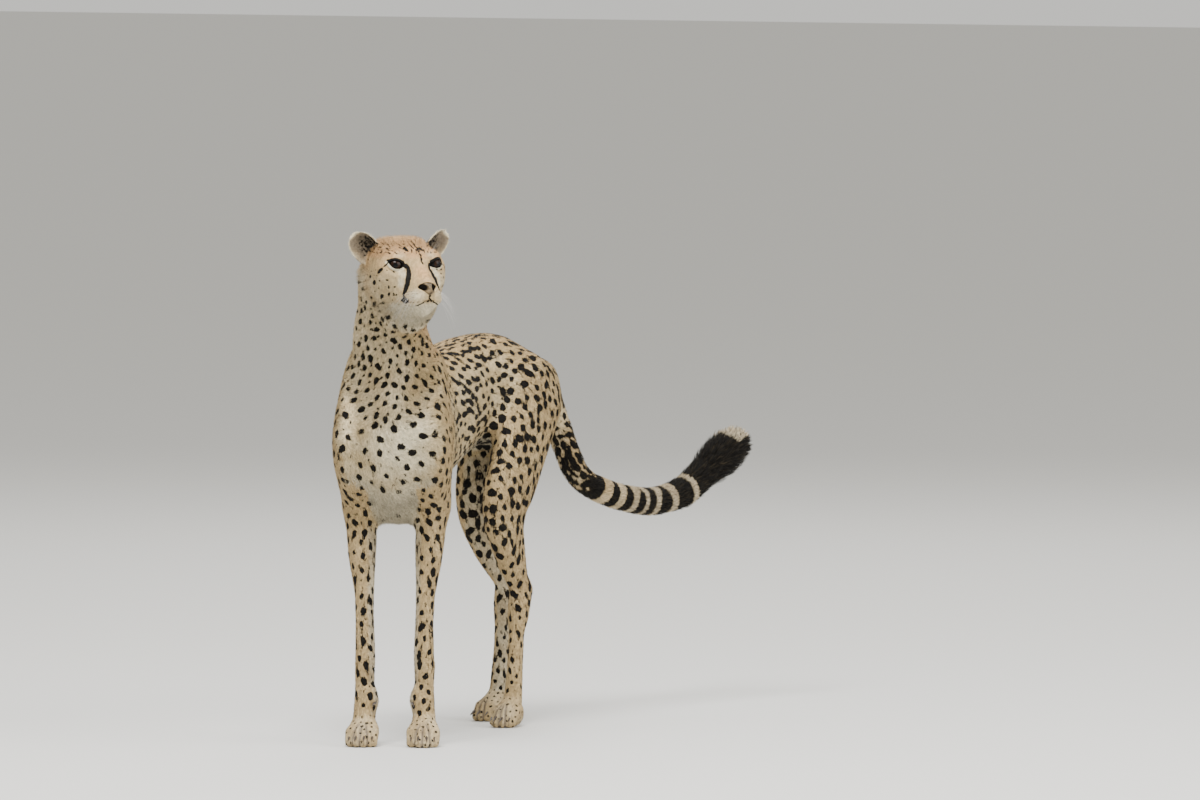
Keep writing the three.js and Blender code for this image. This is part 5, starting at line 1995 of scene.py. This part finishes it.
@dataclass(frozen=True)
class CoatFinish:
    """The finish of the fur and of the skin below it.

    Attributes:
        name: The material's name.
        sand: The ground colour of the flanks.
        cream: The colour of the breast, throat and belly.
        rust: The warm colour of the brow and back.
        ash: The grey of the ears and tail, also painted as shade under the belly and the jaw, on the inner
            sides of the legs and in the grooves between the toes.
        ink: The colour of the spots and lines.
        root_shade: How dark a tuft is at its root.
        bump: How deep the fine grain is, in metres.
    """

    name: str
    sand: tuple = (0.6, 0.445, 0.225, 1.0)
    cream: tuple = (0.84, 0.75, 0.53, 1.0)
    rust: tuple = (0.64, 0.37, 0.16, 1.0)
    ash: tuple = (0.22, 0.185, 0.15, 1.0)
    ink: tuple = (0.007, 0.006, 0.005, 1.0)
    root_shade: float = 0.62
    bump: float = 0.0006

    def material(self) -> bpy.types.Material:
        """Builds the material."""
        material, tree, shader = new_material(self.name)
        nodes = Nodes(tree)
        patches = nodes.noise(0.045, 4.0)
        strands = nodes.noise(0.004, 3.0, (3.0, 1.0, 1.6))
        ground = nodes.mix(nodes.number("warm"), self.sand, self.rust)
        pale = nodes.maths("ADD", nodes.number("pale"), nodes.ramp(patches, 0.3, 0.7, -0.12, 0.12))
        ground = nodes.mix(nodes.ramp(pale, 0.05, 0.95), ground, self.cream)
        # The grey share draws the ground toward ash: the own grey of the ears and tail, and painted shade
        # under the belly and jaw, inside the legs and between the toes.
        ground = nodes.mix(nodes.number("grey"), ground, self.ash)
        vary = nodes.ramp(strands, 0.3, 0.7, 0.8, 1.14)
        vary = nodes.maths("MULTIPLY", vary, nodes.ramp(patches, 0.25, 0.75, 0.92, 1.06))
        vary = nodes.maths("MULTIPLY", vary, nodes.ramp(nodes.number("strand"), 0.0, 1.0, 0.84, 1.12))
        rooted = nodes.ramp(nodes.number("along"), 0.0, 0.8, self.root_shade, 1.05)
        vary = nodes.maths("MULTIPLY", vary, rooted)
        ragged = nodes.ramp(nodes.noise(0.005, 3.0), 0.25, 0.75, -1.0, 1.0)
        dark = nodes.ramp(nodes.maths("ADD", nodes.number("black"), ragged), 0.55, -0.55)
        tint = nodes.mix(1.0, ground, self._as_grey(nodes, vary), "MULTIPLY")
        soot = nodes.mix(nodes.ramp(nodes.number("strand"), 0.75, 1.0, 0.0, 0.05), self.ink, self.sand)
        nodes.feed(shader.inputs["Base Color"], nodes.mix(dark, tint, soot))
        nodes.feed(shader.inputs["Roughness"], nodes.ramp(strands, 0.2, 0.8, 0.62, 0.85))
        shader.inputs["Specular IOR Level"].default_value = 0.12
        nodes.bump(shader, strands, self.bump, 0.7)
        return material

    @staticmethod
    def _as_grey(nodes: Nodes, value: bpy.types.NodeSocket) -> bpy.types.NodeSocket:
        """A number as a grey colour."""
        node = nodes.add("ShaderNodeCombineColor")
        for socket in node.inputs:
            nodes.feed(socket, value)
        return node.outputs[0]


@dataclass(frozen=True)
class LeatherFinish:
    """The bare skin of the nose and lid rims.

    Attributes:
        name: The material's name.
        dark: Its darker colour.
        light: Its lighter colour.
        gloss: How much it shines.
        hollowed: Whether it has hollows, painted as shade: dark and without shine.
    """

    name: str
    dark: tuple
    light: tuple
    gloss: float
    hollowed: bool = False

    def material(self) -> bpy.types.Material:
        """Builds the material."""
        material, tree, shader = new_material(self.name)
        nodes = Nodes(tree)
        cells = nodes.add("ShaderNodeTexVoronoi", feature="DISTANCE_TO_EDGE")
        nodes.feed(cells.inputs["Vector"], nodes.add("ShaderNodeTexCoord").outputs["Object"])
        cells.inputs["Scale"].default_value = 700.0
        tone = nodes.ramp(nodes.noise(0.012, 4.0), 0.3, 0.7)
        shader.inputs["Specular IOR Level"].default_value = self.gloss
        if self.hollowed:
            # Painted shade in the nostrils: the hollows take the dark colour and lose their shine.
            solid = nodes.maths("SUBTRACT", 1.0, nodes.number("hollow"))
            tone = nodes.maths("MULTIPLY", tone, solid)
            nodes.feed(shader.inputs["Specular IOR Level"], nodes.maths("MULTIPLY", solid, self.gloss))
        nodes.feed(shader.inputs["Base Color"], nodes.mix(tone, self.dark, self.light))
        nodes.feed(shader.inputs["Roughness"], nodes.ramp(tone, 0.0, 1.0, 0.42, 0.55))
        nodes.bump(shader, nodes.ramp(cells.outputs["Distance"], 0.0, 0.25), 0.00015)
        return material


@dataclass(frozen=True)
class EyeFinish:
    """The eyeball: black pupil, amber iris, dark edge and a wet gloss."""

    name: str
    pupil: float = 0.30
    iris: float = 0.80
    amber: tuple = (0.022, 0.009, 0.004, 1.0)
    bronze: tuple = (0.007, 0.0035, 0.002, 1.0)
    black: tuple = (0.003, 0.003, 0.003, 1.0)

    def material(self) -> bpy.types.Material:
        """Builds the material."""
        material, tree, shader = new_material(self.name)
        nodes = Nodes(tree)
        off_axis = nodes.number("off_axis")
        spokes = nodes.add("ShaderNodeTexNoise")
        place = nodes.add("ShaderNodeCombineXYZ")
        nodes.feed(place.inputs["X"], nodes.maths("MULTIPLY", nodes.number("spin"), 9.0))
        nodes.feed(place.inputs["Y"], nodes.maths("MULTIPLY", off_axis, 2.0))
        nodes.feed(spokes.inputs["Vector"], place.outputs[0])
        nodes.feed(spokes.inputs["Scale"], 1.6)
        colour = nodes.mix(nodes.ramp(spokes.outputs["Fac"], 0.35, 0.65), self.bronze, self.amber)
        colour = nodes.mix(nodes.ramp(off_axis, self.iris - 0.2, self.iris), colour, self.black)
        colour = nodes.mix(nodes.ramp(off_axis, self.pupil + 0.03, self.pupil - 0.03), colour, self.black)
        nodes.feed(shader.inputs["Base Color"], colour)
        shader.inputs["Roughness"].default_value = 0.16
        shader.inputs["Specular IOR Level"].default_value = 0.14
        return material


@dataclass(frozen=True)
class HornFinish:
    """The claws and whiskers: a long grain of dark and pale streaks."""

    name: str
    dark: tuple = (0.022, 0.016, 0.012, 1.0)
    light: tuple = (0.085, 0.062, 0.045, 1.0)

    def material(self) -> bpy.types.Material:
        """Builds the material."""
        material, tree, shader = new_material(self.name)
        nodes = Nodes(tree)
        grain = nodes.noise(0.0016, 3.0, (1.0, 1.0, 5.0))
        nodes.feed(shader.inputs["Base Color"], nodes.mix(nodes.ramp(grain, 0.3, 0.7), self.dark, self.light))
        nodes.feed(shader.inputs["Roughness"], nodes.ramp(grain, 0.2, 0.8, 0.28, 0.45))
        nodes.bump(shader, grain, 0.0002)
        return material


COAT_FINISH = CoatFinish("fur")
LID_FINISH = LeatherFinish("lid_rim", (0.003, 0.003, 0.003, 1.0), (0.007, 0.005, 0.004, 1.0), 0.06)
NOSE_FINISH = LeatherFinish("nose_leather", (0.006, 0.005, 0.004, 1.0), (0.24, 0.17, 0.09, 1.0), 0.22, True)
EYE_FINISH = EyeFinish("eye")
CLAW_FINISH = HornFinish("claw")
WHISKER_FINISH = HornFinish("whisker", (0.45, 0.42, 0.38, 1.0), (0.75, 0.72, 0.68, 1.0))


# ---- The studio ----
@dataclass
class Studio:
    """The floor, the light and the camera round the model.

    Attributes:
        breast: The point on the floor below the middle of the breast.
        azimuth: Where the camera stands: 0 looks along +Y and 90 along -X, in degrees.
        elevation: How far it looks down, in degrees.
        distance: How far away it stands.
        view_width: How wide the view is at that distance.
        aim_aside: How far the aim lies to the right of the breast.
        aim_height: How high it lies.
    """

    breast: np.ndarray
    azimuth: float = 113.3
    elevation: float = 3.5
    distance: float = 25.0
    view_width: float = 2.304
    aim_aside: float = 0.405
    aim_height: float = 0.6733

    def build(self) -> None:
        """Makes the floor, the lamps, the world and the camera."""
        self._floor()
        self._lamps()
        self._camera()

    def _floor(self) -> None:
        """A wide pale floor."""
        across = np.linspace(-40, 40, 3)
        points = np.array([(x, y, 0.0) for x in across for y in across])
        faces = np.array([(0, 3, 4, 1), (1, 4, 5, 2), (3, 6, 7, 4), (4, 7, 8, 5)])
        floor = add_mesh("floor", points, faces)
        material, _, shader = new_material("pale_floor")
        shader.inputs["Base Color"].default_value = (0.66, 0.65, 0.62, 1.0)
        shader.inputs["Roughness"].default_value = 0.85
        floor.data.materials.append(material)

    def _lamps(self) -> None:
        """A broad soft light from above and the viewer's side, and an even sky."""
        world = bpy.data.worlds.new("sky")
        bpy.context.scene.world = world
        world.use_nodes = True
        sky = world.node_tree.nodes["Background"]
        sky.inputs["Color"].default_value = (0.93, 0.92, 0.88, 1.0)
        sky.inputs["Strength"].default_value = 0.82
        for name, place, size, power in (
            ("key", (3.0, 0.5, 5.5), 3.0, 620.0),
            ("fill", (0.5, 5.0, 2.8), 4.0, 240.0),
            ("back", (-4.5, -1.5, 4.5), 4.0, 160.0),
        ):
            lamp = bpy.data.lights.new(name, "AREA")
            lamp.energy = power
            lamp.size = size
            piece = bpy.data.objects.new(name, lamp)
            bpy.context.scene.collection.objects.link(piece)
            piece.location = place
            beam = Vector(place) - Vector((0.2, 0.0, 0.5))
            piece.rotation_euler = beam.to_track_quat("Z", "Y").to_euler()

    def _camera(self) -> None:
        """The camera, far off with a long lens."""
        turn, lift = math.radians(self.azimuth), math.radians(self.elevation)
        back = Vector((math.sin(turn) * math.cos(lift), -math.cos(turn) * math.cos(lift), math.sin(lift)))
        aside = Vector((math.cos(turn), math.sin(turn), 0.0))
        aim = Vector((self.breast[0], self.breast[1], self.aim_height)) + aside * self.aim_aside
        camera = bpy.data.objects.new("camera", bpy.data.cameras.new("camera"))
        bpy.context.scene.collection.objects.link(camera)
        camera.location = aim + back * self.distance
        camera.rotation_euler = back.to_track_quat("Z", "Y").to_euler()
        camera.data.lens = camera.data.sensor_width * self.distance / self.view_width
        camera.data.clip_end = 200.0
        bpy.context.scene.camera = camera


def dress_claws(nodes: dict[str, bpy.types.Object]) -> None:
    """Gives the claws their horn."""
    horn = CLAW_FINISH.material()
    for name, node in nodes.items():
        if name.startswith("claw"):
            node.data.materials.clear()
            node.data.materials.append(horn)


def dress_skin(skin: Skin, colouring: Colouring) -> None:
    """Gives the skin its finish and the numbers that the finish reads."""
    mesh = skin.piece.data
    fields = colouring.fields(skin.points, skin.normals, skin.node_index, skin.tail_share)
    for name, values in fields.items():
        store(mesh, name, values)
    store(mesh, "along", np.full(len(skin.points), 0.35))
    store(mesh, "strand", np.full(len(skin.points), 0.5))
    mesh.materials.clear()
    mesh.materials.append(CoatFinish("skin", bump=0.0012).material())


def main() -> None:
    """Builds the cheetah piece by piece."""
    logging.basicConfig(level=logging.INFO, format="%(name)s: %(message)s")
    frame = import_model()
    anatomy = Anatomy.from_nodes(frame["nodes"])
    skin = Skin(anatomy)
    piece = skin.build()
    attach(piece, "root")
    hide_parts(*anatomy.flesh)
    colouring = Colouring(skin, Markings(skin))
    dress_skin(skin, colouring)
    Eyes(anatomy).build()
    Nose(anatomy).build()
    Whiskers(anatomy, skin).build()
    dress_claws(frame["nodes"])
    Coat(skin, colouring).build()
    Studio(BREAST_FOOT).build()


if __name__ == "__main__":
    main()
